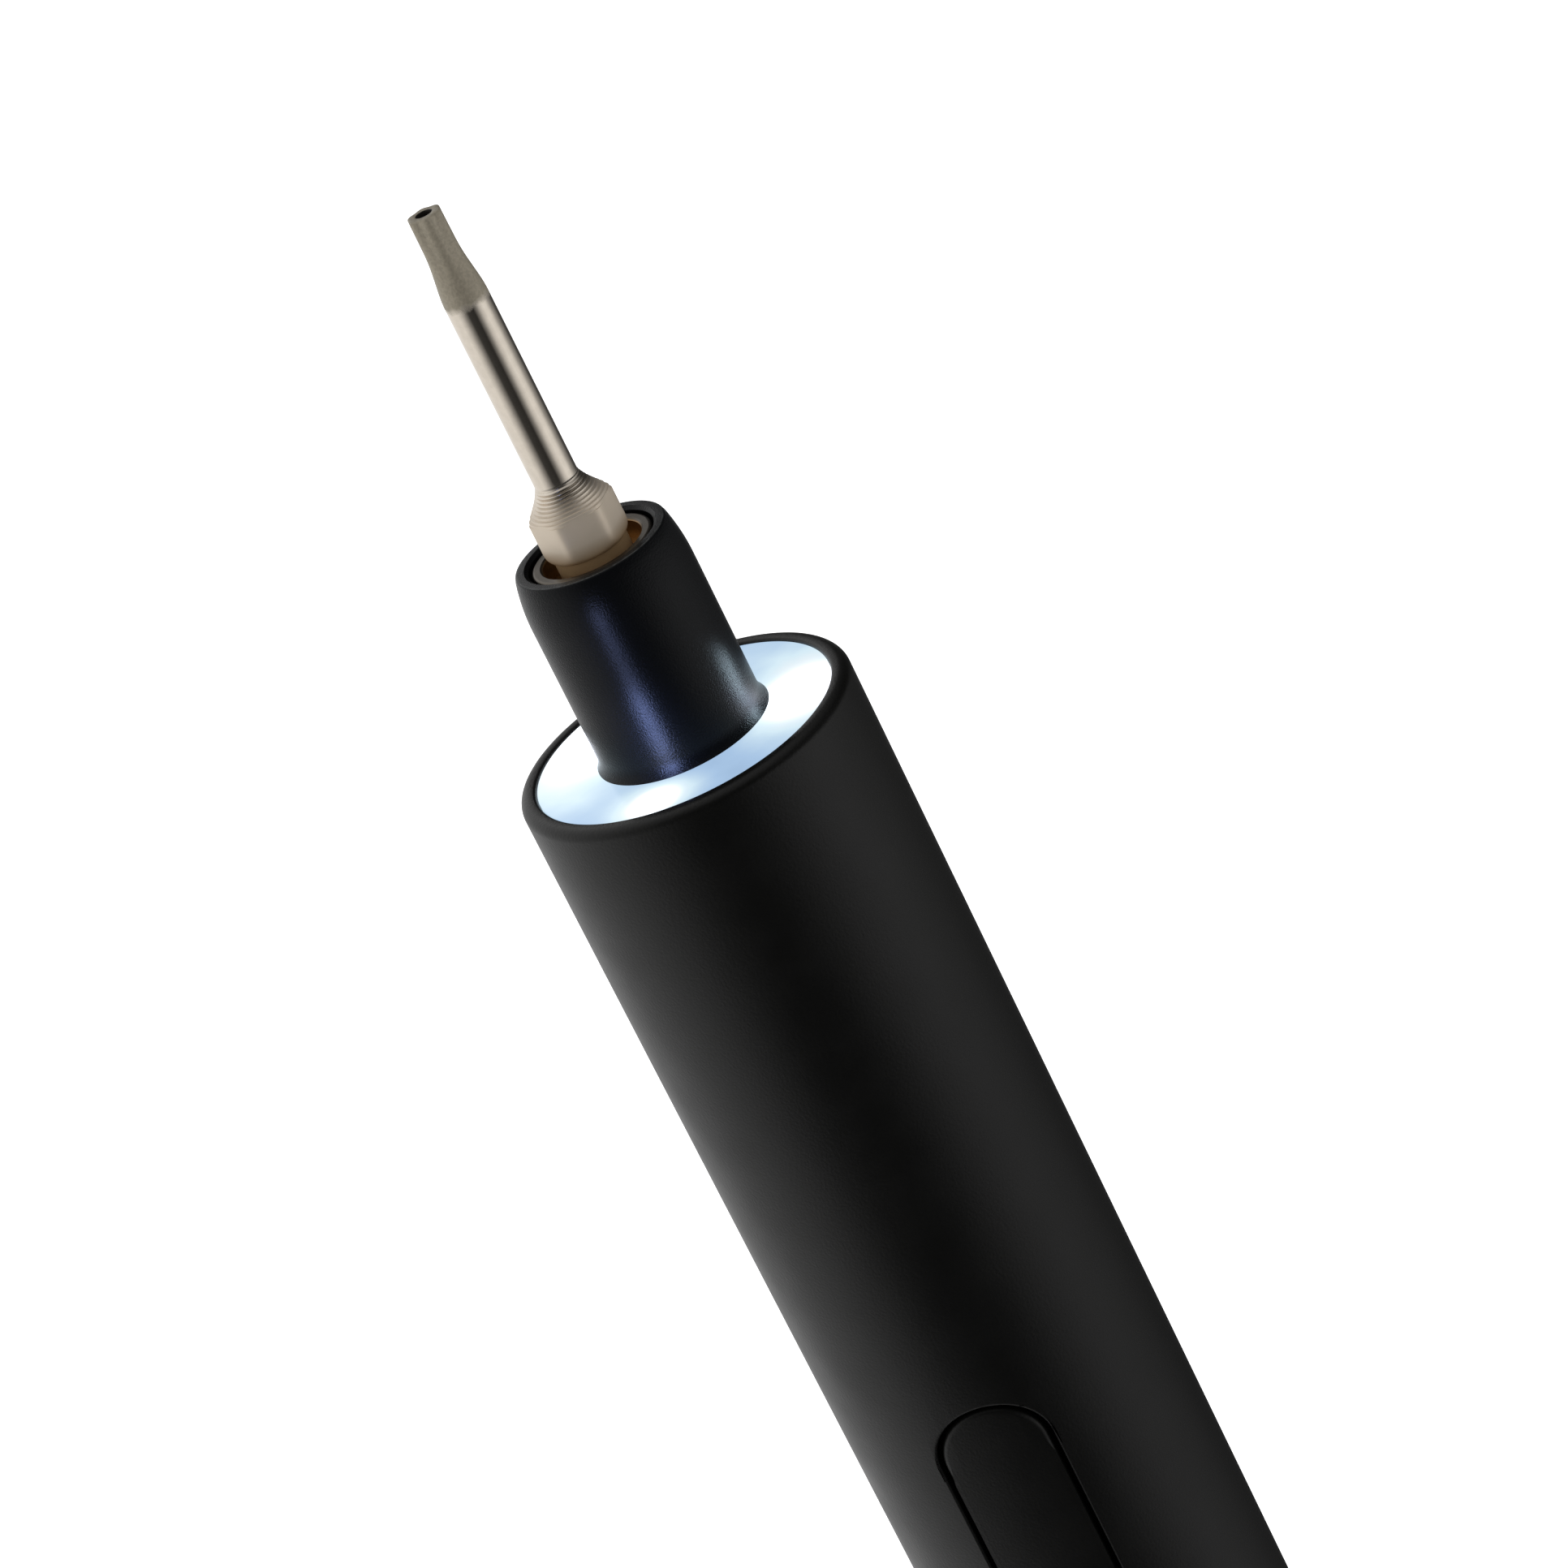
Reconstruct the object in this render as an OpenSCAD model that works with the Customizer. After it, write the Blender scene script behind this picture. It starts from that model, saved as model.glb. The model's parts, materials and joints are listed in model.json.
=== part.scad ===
// Pen-style electric torque screwdriver, standing on its rear face: +Z runs along the tool's axis to the bit's tip.
// The button faces -Y. Depths named *_at are measured back from the front rim of the body tube. Millimetres.

/* [Body tube] */
// Outer diameter of the body tube and of the rear cap
body_d = 17.6; // [17.4:0.1:19]
// Length from the rear face to the front rim
body_l = 134; // [131:1:160]
// Wall thickness of the body tube
wall = 0.8; // [0.6:0.05:0.85]
// Radius of the tube's rounded front edge
rim_round = 0.55; // [0.2:0.05:0.6]
// How far the front lip stands in from the bore
lip_h = 0.14; // [0.1:0.02:0.4]
// Length of the front lip
lip_l = 0.8; // [0.7:0.1:1.2]

/* [Light ring] */
// How far the light ring's face lies behind the rim
ring_recess = 0.12; // [0:0.02:0.4]
// Thickness of the clear disc
ring_t = 1.9; // [1.6:0.1:2.1]
// Thickness of the skirt around the disc's rear
skirt_t = 0.7; // [0.5:0.1:1]
// Number of lamps round the board
led_count = 3; // [2:1:8]
// Where the first lamp stands, as an angle from +X
led_turn = 15; // [0:1:90]
// Side of one square lamp
led_side = 1.5; // [1:0.1:1.8]
// Height of one lamp
led_h = 0.5; // [0.3:0.05:0.6]
// Thickness of the lamp board
led_board_t = 0.8; // [0.6:0.1:1]

/* [Nose] */
// Diameter of the nose sleeve
nose_d = 8.62; // [8.5:0.02:9.2]
// How far the nose stands out past the rim
nose_l = 10.75; // [9.5:0.25:13]
// Diameter of the nose's front edge
nose_tip_d = 7.9; // [7.6:0.05:8.2]
// Length over which the nose tapers to its front edge
nose_taper_l = 2.7; // [1.5:0.1:3.5]
// Extra radius of the nose's flared foot
flare_w = 0.26; // [0.1:0.02:0.4]
// Wall of the sleeve's front lip round the spindle
nose_lip_l = 1.4; // [1:0.1:2]
// Diameter of the spigot that holds the nose in the front housing
spigot_d = 8.2; // [8:0.05:8.4]
// Length of that spigot inside the front housing
spigot_l = 3.7; // [2.5:0.1:4.5]
// Length of the front bush
front_bush_l = 6; // [4:0.5:7]
// Wall of the front bush
front_bush_wall = 0.55; // [0.4:0.05:0.6]

/* [Spindle and bit] */
// Outer diameter of the spindle
spindle_d = 6.3; // [6.2:0.02:6.4]
// How far the spindle's face lies behind the nose's front
spindle_back = 0.2; // [0.1:0.05:0.5]
// Width across flats of a bit's hexagon
hex_af = 4; // [3.9:0.02:4.1]
// Play between the bit's hexagon and its socket, across flats
hex_play = 0.06; // [0.04:0.01:0.12]
// Where one corner of the hexagon stands, as an angle from +X
hex_turn = 14.6; // [0:0.1:60]
// Length of hexagon inside the socket
grip_l = 9.3; // [8:0.1:10]
// Diameter of the round mouth ahead of the socket
mouth_d = 5.2; // [5:0.05:5.4]
// Depth of that mouth
mouth_l = 1.1; // [0.6:0.1:1.6]
// Diameter of the magnet under the bit
magnet_d = 3.4; // [3:0.1:3.8]
// Thickness of the magnet
magnet_t = 1.6; // [1:0.1:1.8]
// Diameter of the spindle's rear journal
journal_d = 5; // [4.6:0.1:5.2]
// Diameter of the spindle's end in the carrier
drive_d = 4; // [3.6:0.1:4.2]
// Length of bit hexagon that stands out of the spindle
hex_out = 2.35; // [1.6:0.05:3]
// Height of the turned hollow between hexagon and shaft
hollow_l = 1.75; // [1.4:0.05:2.2]
// Diameter of the bit's shaft
bit_shaft_d = 2.25; // [1.9:0.05:2.4]
// Length of the bit's round shaft
bit_shaft_l = 9.75; // [8:0.05:14]
// Length of the six-lobed tip with its tapering root
bit_tip_l = 4.75; // [3.5:0.05:6]
// Length of that taper, from the shaft to the straight end
bit_root_l = 2.9; // [1.5:0.1:4]
// Diameter over the tip's lobes
bit_tip_d = 1.8; // [1.5:0.05:2]
// Diameter of the pin hole in the tip
bit_hole_d = 0.8; // [0.5:0.05:0.9]
// Depth of the pin hole
bit_hole_l = 1.6; // [1:0.1:2.5]

/* [Gearbox] */
// Thickness of the ring gear outside its pitch circle, which sets the size of every tooth
ring_rim = 1.97; // [1.7:0.01:2.1]
// Play cut from each tooth flank
tooth_play = 0.02; // [0.015:0.005:0.03]
// Face width of the gears
gear_w = 3; // [2.5:0.1:3.5]
// Thickness of the output carrier's plate
carrier_2_t = 1.6; // [1.2:0.1:2]
// Thickness of the first carrier's plate
carrier_1_t = 1.2; // [1:0.1:1.5]
// Diameter of the planets' pins
pin_d = 1.2; // [1:0.05:1.4]
// Length of the rear bush in the front housing
rear_bush_l = 3; // [2.5:0.1:4]
// Wall of the rear bush
rear_bush_wall = 1.1; // [0.8:0.1:1.4]
// Thickness of the thrust washer
washer_t = 0.4; // [0.3:0.05:0.6]

/* [Motor] */
// Diameter of the motor
motor_d = 12; // [11.6:0.1:12.4]
// Length of the motor's can
motor_l = 15.2; // [14.5:0.1:15.6]
// Wall of the motor's can
can_wall = 0.5; // [0.3:0.05:0.7]
// Diameter of the motor's shaft
shaft_d = 1; // [0.8:0.05:1.1]
// Thickness of the plate between gearbox and motor
plate_t = 1.2; // [1:0.1:1.5]
// Diameter of the stator magnet in the winding
stator_d = 6.8; // [6:0.1:7.2]
// Wall of the cup-shaped winding
winding_wall = 0.6; // [0.4:0.05:0.8]
// Thread diameter of the motor's screws
screw_d = 1.6; // [1.4:0.1:1.8]

/* [Button] */
// Depth of the button's front end behind the rim
button_at = 36.8; // [36.4:0.1:38]
// Width of the button
button_w = 5.5; // [5:0.1:6]
// Length of the button
button_l = 25; // [23:0.5:26]
// Gap round the button
button_gap = 0.27; // [0.24:0.01:0.4]
// How far the button lies below the tube's surface
button_sunk = 0.06; // [0:0.02:0.3]
// Width of the flange inside the tube, past the slot's edge
flange_w = 0.8; // [0.5:0.1:0.9]
// Distance of a press point from the button's pivot
press_arm = 8.2; // [7.8:0.1:8.6]
// Diameter of the pivot pin
pivot_d = 1; // [0.8:0.05:1.2]

/* [Electronics] */
// Thickness of the circuit boards
board_t = 0.8; // [0.6:0.1:1]
// Length of the main board
board_l = 28; // [27:0.5:30]
// Diameter of the cell
cell_d = 13.8; // [13:0.1:14]
// Room for the leads between the cell's bay and the charging board
wire_room = 4.3; // [3:0.1:10]
// Width of the charging socket's shell
usb_w = 8.94; // [8.9:0.02:9]
// Height of the charging socket's shell
usb_h = 3.2; // [3.1:0.02:3.3]
// Depth of the charging socket
usb_l = 7.35; // [7:0.05:8]
// Length of the charging board
usb_board_l = 16; // [12:0.5:18]

/* [Rear cap] */
// Thickness of the rear cap's flange
cap_t = 1.6; // [1.2:0.1:2.2]
// Radius of the cap's rounded rear edge
cap_round = 0.6; // [0.2:0.05:0.8]
// Length of the cap's spigot in the tube
cap_spigot_l = 4.2; // [3:0.1:5]
// Wall of the cap's spigot
cap_wall = 1; // [0.8:0.05:1.2]

/* [Hidden] */
$fn = 64;

fit = 0.03;          // snug radial gap between parts that do not turn
run = 0.04;          // running radial gap round a turning part
end_gap = 0.1;       // axial gap beside a turning part
eps = 0.01;          // overshoot of a cut past the face it opens

body_r = body_d / 2;
bore_r = body_r - wall;
seat_r = bore_r - fit;
rim_z = body_l;
lip_r = bore_r - lip_h;

// Front stack, each a depth behind the rim
ring_back_at = ring_recess + ring_t;
led_clear = 0.35;
led_board_at = ring_back_at + led_clear + led_h;
housing_at = led_board_at + led_board_t;
spigot_end_at = housing_at + spigot_l;
washer_play = 0.05;
rear_bush_at = spigot_end_at + 0.2;
washer_at = rear_bush_at - washer_play - washer_t;
shoulder_at = washer_at - washer_play;
rear_bush_end_at = rear_bush_at + rear_bush_l;
housing_end_at = rear_bush_end_at + 0.3;
carrier_2_at = rear_bush_end_at + 0.3 + end_gap;
output_planet_at = carrier_2_at + carrier_2_t + end_gap;
carrier_1_at = output_planet_at + gear_w + 0.3;
first_planet_at = carrier_1_at + carrier_1_t + end_gap;
plate_at = first_planet_at + gear_w + 0.4;
motor_at = plate_at + plate_t;
motor_end_at = motor_at + motor_l;

nose_front_z = rim_z + nose_l;
spindle_z = nose_front_z - spindle_back;
foot_z = rim_z - ring_recess;

// Bit, from its foot up
bit_foot_z = spindle_z - grip_l;      // the bit stands on the magnet
hex_top_z = spindle_z + hex_out;
hollow_top_z = hex_top_z + hollow_l;
shaft_top_z = hollow_top_z + bit_shaft_l;
bit_top_z = shaft_top_z + bit_tip_l;
corner_r = hex_af / sqrt(3) - 0.02;   // corners just broken
foot_chamfer = 0.3;
tip_chamfer = 0.1;
hollow_power = 1.5;                   // curve of the turned hollow
flute_r = 0.13 * bit_tip_d;           // the tip's six flutes, which lean outwards and run out on the root
flute_x = 0.54 * bit_tip_d;
flute_lean = -atan((bit_shaft_d / 2 + flute_r - flute_x) / (bit_tip_l - 0.3));

// Gears: every planet stands with a tooth straight outwards, and each sun is turned half a pitch to meet it
pressure_angle = 25;
sun_teeth = 12;
planet_teeth = 18;
ring_teeth = sun_teeth + 2 * planet_teeth;
gear_m = 2 * (seat_r - ring_rim) / ring_teeth;    // pitch diameter over number of teeth
planet_angles = [90, 210, 330];
orbit_r = gear_m * (sun_teeth + planet_teeth) / 2;
sun_turn = 180 / sun_teeth;
flank_steps = 4;

// Button and boards
slot_w = button_w + 2 * button_gap;
slot_l = button_l + 2 * button_gap;
button_mid_at = button_at + button_l / 2;
button_mid_z = rim_z - button_mid_at;
flange_r = bore_r - 0.5;              // room for the flange's ends to rise as the button rocks
flange_in_r = flange_r - 0.85;
board_at = motor_end_at + 1.7;
lug_reach = 2.25;                     // from the flange's inner face to the pivot's axis
pivot_y = lug_reach - flange_in_r;
board_y = pivot_y + 2.1;              // face of the main board under the button
pad_t = 0.3;
dome_top_y = pivot_y + 0.1;
dome_d = 3.6;
dome_tip_d = 2;
pad_margin = 2;                       // silicone sheet past each dome's axis
ear_x = 3.3;
ear_w = 1.2;
ear_l = 3;
ear_rise = 0.7;
lug_w = 5.2;
lug_l = 2.2;
lug_top = flange_in_r + 0.25;
lug_drop = 0.9;                       // how far the lug reaches past the pivot's axis
foot_d = 1.8;
foot_gap = 0.3;                       // travel left between a foot and its dome
ledge_x = 5;

// Chassis, cell and rear stack
chassis_wall = 0.9;
chassis_r = seat_r - 0.02;
chassis_in_r = chassis_r - chassis_wall;
flex_w = 1.8;
flex_t = 0.15;
flex_y = board_y + board_t;           // its edge lies on the main board's rear face
chassis_y = flex_y + flex_w + 0.6;    // the tray's open edge
bulkhead_t = 1.1;
cell_r = min(cell_d / 2, chassis_in_r - 0.05);
bay_at = board_at + board_l + 0.3;
cell_play = 0.2;
cell_at = bay_at + bulkhead_t + cell_play;
usb_board_z = cap_t + 0.4;
cell_foot_z = usb_board_z + usb_board_l + wire_room + bulkhead_t + cell_play;
cell_l = rim_z - cell_at - cell_foot_z;
bay_end_at = cell_at + cell_l + cell_play;
window_w = 3.6;                       // opening in the bulkheads for the tabs
window_y = board_y - 1.7;
post_l = 4;                           // post under each screw of the charging board
tab_w = 3;
tab_l = 4;
spigot_z = cap_t + cap_spigot_l;
chassis_end_z = spigot_z + 0.1;
usb_z = 0.3;
usb_board_y = usb_h / 2;
usb_board_w = 2 * (sqrt(pow(seat_r - cap_wall, 2) - pow(usb_board_y + board_t, 2)) - 0.75);
tongue_w = 6.7;
tongue_t = 0.7;
flex_x = seat_r - 0.47;
flex_tail_l = 4;
channel_x = flex_x - 0.25;
channel_w = 3;
board_w = 2 * (flex_x - 1.3);         // leaves the flex its way past the board's edge
ledge_at = board_at + flex_tail_l + 0.3;

// ---------- shared shapes ----------

// Places a shape at a depth behind the rim, with its foot towards the rear
module behind_rim(from, to) {
    translate([0, 0, rim_z - to]) linear_extrude(to - from) children();
}

module tube_2d(outer, inner) {
    difference() {
        circle(outer);
        circle(inner);
    }
}

// Upright pill outline in the XZ plane, run out along -Y from depth y_in to y_out
module pill(w, l, z_mid, y_out, y_in) {
    translate([0, -y_in, z_mid]) rotate([90, 0, 0]) linear_extrude(y_out - y_in) {
        square([w, l - w], center = true);
        for (end = [-1, 1]) translate([0, end * (l - w) / 2]) circle(w / 2);
    }
}

// The waste outside a quarter round of radius r at a corner; sx and sy point out of the material
module corner_waste(at, r, sx, sy) {
    translate(at) mirror([sx < 0 ? 1 : 0, 0]) mirror([0, sy < 0 ? 1 : 0]) translate([-r, -r])
        difference() {
            square(r + eps);
            circle(r);
        }
}

module hexagon(af) {
    rotate(hex_turn) circle(af / sqrt(3), $fn = 6);
}

function polar(r, a) = [r * cos(a), r * sin(a)];

// ---------- gears ----------

// Involute function of the circle of radius r over base radius rb, in degrees
function involute(rb, r) = let (t = sqrt(max(0, pow(r / rb, 2) - 1))) t * 180 / PI - atan(t);

// Half a tooth's angle at radius r; slack under 0 widens it, as for the space in a ring gear
function half_tooth(teeth, r, slack) =
    let (rp = gear_m * teeth / 2, rb = rp * cos(pressure_angle))
    90 / teeth + involute(rb, rp) - involute(rb, max(r, rb)) - slack / rp * 180 / PI;

// Outline of one gear with its flanks drawn from the root to the tip
function gear_points(teeth, root_r, tip_r, slack) =
    let (rb = gear_m * teeth / 2 * cos(pressure_angle),
         low = max(root_r, rb),
         up = concat(root_r < low ? [root_r] : [],
             [for (k = [0:flank_steps]) low + (tip_r - low) * k / flank_steps]),
         last = len(up) - 1)
    [for (i = [0:teeth - 1]) each concat(
        [for (r = up) polar(r, i * 360 / teeth - half_tooth(teeth, r, slack))],
        [for (k = [0:last]) polar(up[last - k], i * 360 / teeth + half_tooth(teeth, up[last - k], slack))])];

module spur_2d(teeth) {
    rp = gear_m * teeth / 2;
    polygon(gear_points(teeth, rp - 1.25 * gear_m, rp + gear_m, tooth_play));
}

module ring_space_2d() {
    rp = gear_m * ring_teeth / 2;
    polygon(gear_points(ring_teeth, rp - 0.95 * gear_m, rp + 1.25 * gear_m, -tooth_play));
}

module planet(index, at) {
    angle = planet_angles[index];
    color("ivory") behind_rim(at, at + gear_w) translate(polar(orbit_r, angle)) rotate(angle) difference() {
        spur_2d(planet_teeth);
        circle(pin_d / 2 + run);
    }
}

module planet_pins(from, to) {
    color("silver") behind_rim(from, to) for (angle = planet_angles) translate(polar(orbit_r, angle))
        circle(pin_d / 2);
}

module pin_holes() {
    for (angle = planet_angles) translate(polar(orbit_r, angle)) circle(pin_d / 2 + fit);
}

// ---------- casing ----------

module body_tube() {
    color("#1b1b1a") difference() {
        translate([0, 0, cap_t]) rotate_extrude($fn = 128) translate([0, -cap_t]) difference() {
            translate([lip_r, cap_t]) square([body_r - lip_r, rim_z - cap_t]);
            translate([lip_r - eps, cap_t - eps]) square([bore_r - lip_r + eps, rim_z - lip_l - cap_t + eps]);
            corner_waste([body_r, rim_z], rim_round, 1, 1);
            corner_waste([lip_r, rim_z], 0.15, -1, 1);
        }
        pill(slot_w, slot_l, button_mid_z, body_r + 1, bore_r - 2);
    }
}

module light_ring() {
    hole_r = spigot_d / 2 + fit;
    boss_r = lip_r - 0.04;
    color("#eaf4ff", 0.8) {
        behind_rim(ring_recess, ring_recess + lip_l + 0.1) tube_2d(boss_r, hole_r);
        behind_rim(lip_l + 0.05, ring_back_at) tube_2d(seat_r, hole_r);
        behind_rim(ring_back_at - eps, led_board_at) tube_2d(seat_r, seat_r - skirt_t);
    }
}

led_ring_r = (spigot_d / 2 + seat_r - skirt_t) / 2;

module led_board() {
    color("#f2f2ee") behind_rim(led_board_at, housing_at) tube_2d(seat_r - 0.1, spigot_d / 2 + 0.2);
}

module leds() {
    color("#fdf6c8") behind_rim(led_board_at - led_h, led_board_at) for (i = [0:led_count - 1])
        rotate(led_turn + i * 360 / led_count) translate([led_ring_r, 0]) square(led_side, center = true);
}

// Flat flexible cable from the lamp board to the main board, lying in the channel down the +X side
module led_flex() {
    end_z = rim_z - board_at - flex_tail_l;
    tail_x = tag_x + 0.6;
    color("#b5651d") {
        translate([flex_x, flex_y, end_z]) cube([flex_t, flex_w, rim_z - housing_at - end_z]);
        translate([tail_x, flex_y, end_z]) cube([flex_x - tail_x + eps, flex_t, flex_tail_l - 0.3]);
    }
}

module flex_channel() {
    translate([channel_x, flex_y - 0.2]) square([channel_w, flex_w + 0.4]);
}

module nose_sleeve() {
    nose_r = nose_d / 2;
    tip_r = nose_tip_d / 2;
    bush_r = spindle_d / 2 + run + front_bush_wall;
    bush_top_z = nose_front_z - nose_lip_l;
    taper_z = nose_front_z - nose_taper_l;
    spigot_foot_z = rim_z - spigot_end_at;
    flare_r = 0.8;
    bow = 3 * nose_taper_l;                      // radius of the gently rounded shoulder
    color("#121417") rotate_extrude($fn = 128) difference() {
        union() {
            translate([0, spigot_foot_z]) square([spigot_d / 2, foot_z - spigot_foot_z]);
            translate([0, foot_z]) square([nose_r, taper_z - foot_z]);
            translate([nose_r - 0.05, foot_z]) square([flare_w + 0.05, flare_r]);
            translate([0, taper_z - eps]) polygon([[0, 0], [nose_r, 0],
                for (k = [1:6]) [nose_r - (nose_r - tip_r) * pow(k / 6, 2), nose_taper_l * k / 6 + eps],
                [0, nose_taper_l + eps]]);
        }
        translate([nose_r + flare_r, foot_z + flare_r + 0.12]) circle(flare_r);
        translate([nose_r + 0.001, foot_z + 0.12 + flare_r]) square([1, flare_r]);
        corner_waste([tip_r, nose_front_z], 0.12, 1, 1);
        translate([-eps, spigot_foot_z - eps]) square([bush_r + eps, bush_top_z - spigot_foot_z + eps]);
        translate([-eps, bush_top_z - 1]) square([spindle_d / 2 + 0.15 + eps, nose_lip_l + 1 + eps]);
        translate([spindle_d / 2 + 0.15, nose_front_z]) rotate(45) square(0.25, center = true);
    }
}

module front_bush() {
    top_z = nose_front_z - nose_lip_l;
    color("#b08d57") translate([0, 0, top_z - front_bush_l]) linear_extrude(front_bush_l)
        tube_2d(spindle_d / 2 + run + front_bush_wall - fit / 2, spindle_d / 2 + run);
}

module front_housing() {
    bush_r = journal_d / 2 + run + rear_bush_wall;
    color("#2e3033") difference() {
        behind_rim(housing_at, housing_end_at) difference() {
            circle(seat_r);
            flex_channel();
        }
        behind_rim(housing_at - 1, spigot_end_at + 0.05) circle(spigot_d / 2 + fit / 2);
        behind_rim(spigot_end_at, rear_bush_end_at) circle(bush_r);
        behind_rim(rear_bush_at, housing_end_at + 1) circle(bush_r - 0.4);
        // lightening pockets between the webs
        for (i = [0:5]) rotate(i * 60 + 30) translate([(bush_r + seat_r) / 2 + 0.25, 0, 0])
            behind_rim(spigot_end_at + 1, housing_end_at + 1) circle(0.9);
    }
}

module rear_bush() {
    color("#b08d57") behind_rim(rear_bush_at, rear_bush_end_at)
        tube_2d(journal_d / 2 + run + rear_bush_wall - fit / 2, journal_d / 2 + run);
}

module ring_gear() {
    color("#d8d6cc") behind_rim(housing_end_at, plate_at) difference() {
        circle(seat_r);
        ring_space_2d();
        flex_channel();
    }
}

screw_orbit = motor_d / 2 - 2;

module motor_plate() {
    color("#9a9ea3") behind_rim(plate_at, motor_at) difference() {
        circle(seat_r);
        flex_channel();
        circle(boss_r + fit);
        for (side = [-1, 1]) translate([side * screw_orbit, 0]) circle(screw_d / 2 + 0.05);
    }
}

// ---------- motor ----------

motor_r = motor_d / 2;
boss_r = 1.6;
boss_h = 0.9;
cap_l = 1.6;
tag_x = 0.3 * motor_d;
hub_t = 0.8;
shaft_r = shaft_d / 2;
stator_r = stator_d / 2;
winding_in_r = stator_r + 0.2;
winding_r = winding_in_r + winding_wall;
stator_at = motor_at + can_wall;
stator_end_at = motor_end_at - cap_l - 3.4;
winding_at = stator_at + 0.8;
hub_at = stator_end_at + 0.4;
motor_cap_at = motor_end_at - cap_l;
commutator_r = 1.1;

module motor_can() {
    color("#a8abad") difference() {
        union() {
            behind_rim(motor_at, motor_end_at) circle(motor_r);
            behind_rim(motor_at - boss_h, motor_at + eps) circle(boss_r);
        }
        behind_rim(stator_at, motor_end_at + 1) circle(motor_r - can_wall);
        behind_rim(motor_at - 2, motor_end_at) circle(boss_r - 0.5);
        for (side = [-1, 1]) behind_rim(motor_at - 1, stator_at + 1) translate([side * screw_orbit, 0])
            circle(screw_d / 2);
    }
}

module motor_magnet() {
    color("#4a4d50") behind_rim(stator_at + 0.7, stator_end_at) tube_2d(stator_r, boss_r - 0.5);
    color("#4a4d50") behind_rim(stator_at, stator_at + 0.7 + eps) tube_2d(boss_r + 0.4, boss_r - 0.5);
}

module motor_cap() {
    color("#2f6b4f") difference() {
        behind_rim(motor_cap_at, motor_end_at) circle(motor_r - can_wall - fit);
        behind_rim(motor_cap_at - 1, motor_end_at - 0.4) circle(boss_r - 0.5);
        behind_rim(motor_end_at - 1, motor_end_at + 1) circle(shaft_r + 0.2);
    }
}

module motor_bushes() {
    color("#b08d57") {
        behind_rim(motor_at - boss_h + 0.1, motor_at + 1.3) tube_2d(boss_r - 0.5 - fit / 2, shaft_r + run);
        behind_rim(motor_cap_at + 0.05, motor_end_at - 0.4) tube_2d(boss_r - 0.5 - fit / 2, shaft_r + run);
    }
}

// Two spring brushes that run from the cap to the commutator's sides
module motor_brushes() {
    reach = 1.3;
    color("#c98a3d") for (side = [-1, 1])
        translate([side * (commutator_r + 0.05) - (side < 0 ? 0.2 : 0), -0.6, rim_z - motor_cap_at])
            cube([0.2, 1.2, reach]);
    color("#c98a3d") for (side = [-1, 1])
        translate([side > 0 ? commutator_r + 0.05 : -commutator_r - 0.05 - 1.6, -0.6, rim_z - motor_cap_at])
            cube([1.6, 1.2, 0.15]);
    // solder tags behind the cap
    color("#c98a3d") for (side = [-1, 1])
        translate([side * tag_x - 0.6, -0.15, rim_z - motor_end_at - 1]) cube([1.2, 0.3, 1]);
}

module motor_screws() {
    head_h = 0.35;
    color("silver") for (side = [-1, 1]) translate([side * screw_orbit, 0, 0]) {
        behind_rim(plate_at - head_h, plate_at) difference() {
            circle(screw_d / 2 + 0.45);
            square([0.3, screw_d], center = true);
        }
        behind_rim(plate_at - eps, stator_at) circle(screw_d / 2 - 0.05);
    }
}

// Insulated leads from the motor's tags to the main board
module motor_leads() {
    lead_r = 0.35;
    color("firebrick") lead(tag_x, lead_r);
    color("#202020") lead(-tag_x, lead_r);
}

module lead(x, r) {
    start_z = rim_z - motor_end_at - 1 - r;
    end_z = rim_z - board_at - 1.2;
    end_y = board_y + board_t + r;
    rise = [0, end_y, end_z - start_z];
    translate([x, 0, start_z]) {
        sphere(r);
        rotate([-atan2(rise[1], rise[2]), 0, 0]) cylinder(r = r, h = norm(rise));
        translate(rise) sphere(r);
    }
}

module motor_shaft() {
    color("silver") behind_rim(first_planet_at - 0.1, motor_end_at - 0.5) circle(shaft_r);
}

module motor_pinion() {
    color("#c9a24b") behind_rim(first_planet_at, first_planet_at + gear_w) rotate(sun_turn) difference() {
        spur_2d(sun_teeth);
        circle(shaft_r + fit / 2);
    }
}

module winding_cup() {
    color("#b87333") behind_rim(winding_at, hub_at) tube_2d(winding_r, winding_in_r);
}

module winding_hub() {
    color("#3c3c3a") behind_rim(hub_at, hub_at + hub_t) tube_2d(winding_r, shaft_r + fit / 2);
}

module commutator() {
    color("#c9a24b") behind_rim(hub_at + hub_t, motor_cap_at - 0.1) tube_2d(commutator_r, shaft_r + fit / 2);
}

// ---------- spindle train ----------

module spindle() {
    r = spindle_d / 2;
    foot_at = carrier_2_at + carrier_2_t;
    color("#a39a8c") difference() {
        union() {
            translate([0, 0, rim_z - shoulder_at]) rotate_extrude() difference() {
                square([r, spindle_z - rim_z + shoulder_at]);
                corner_waste([r, spindle_z - rim_z + shoulder_at], 0.15, 1, 1);
            }
            behind_rim(shoulder_at - eps, carrier_2_at) circle(journal_d / 2);
            behind_rim(carrier_2_at - eps, foot_at) drive_2d(0);
        }
        translate([0, 0, bit_foot_z]) linear_extrude(grip_l + 1) hexagon(hex_af + hex_play);
        translate([0, 0, spindle_z - mouth_l]) cylinder(d = mouth_d, h = mouth_l + 1);
        translate([0, 0, spindle_z - 0.12]) cylinder(d1 = mouth_d, d2 = mouth_d + 0.24, h = 0.12 + eps);
        translate([0, 0, bit_foot_z - magnet_t]) cylinder(d = magnet_d + 2 * fit, h = magnet_t + eps);
    }
}

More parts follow.
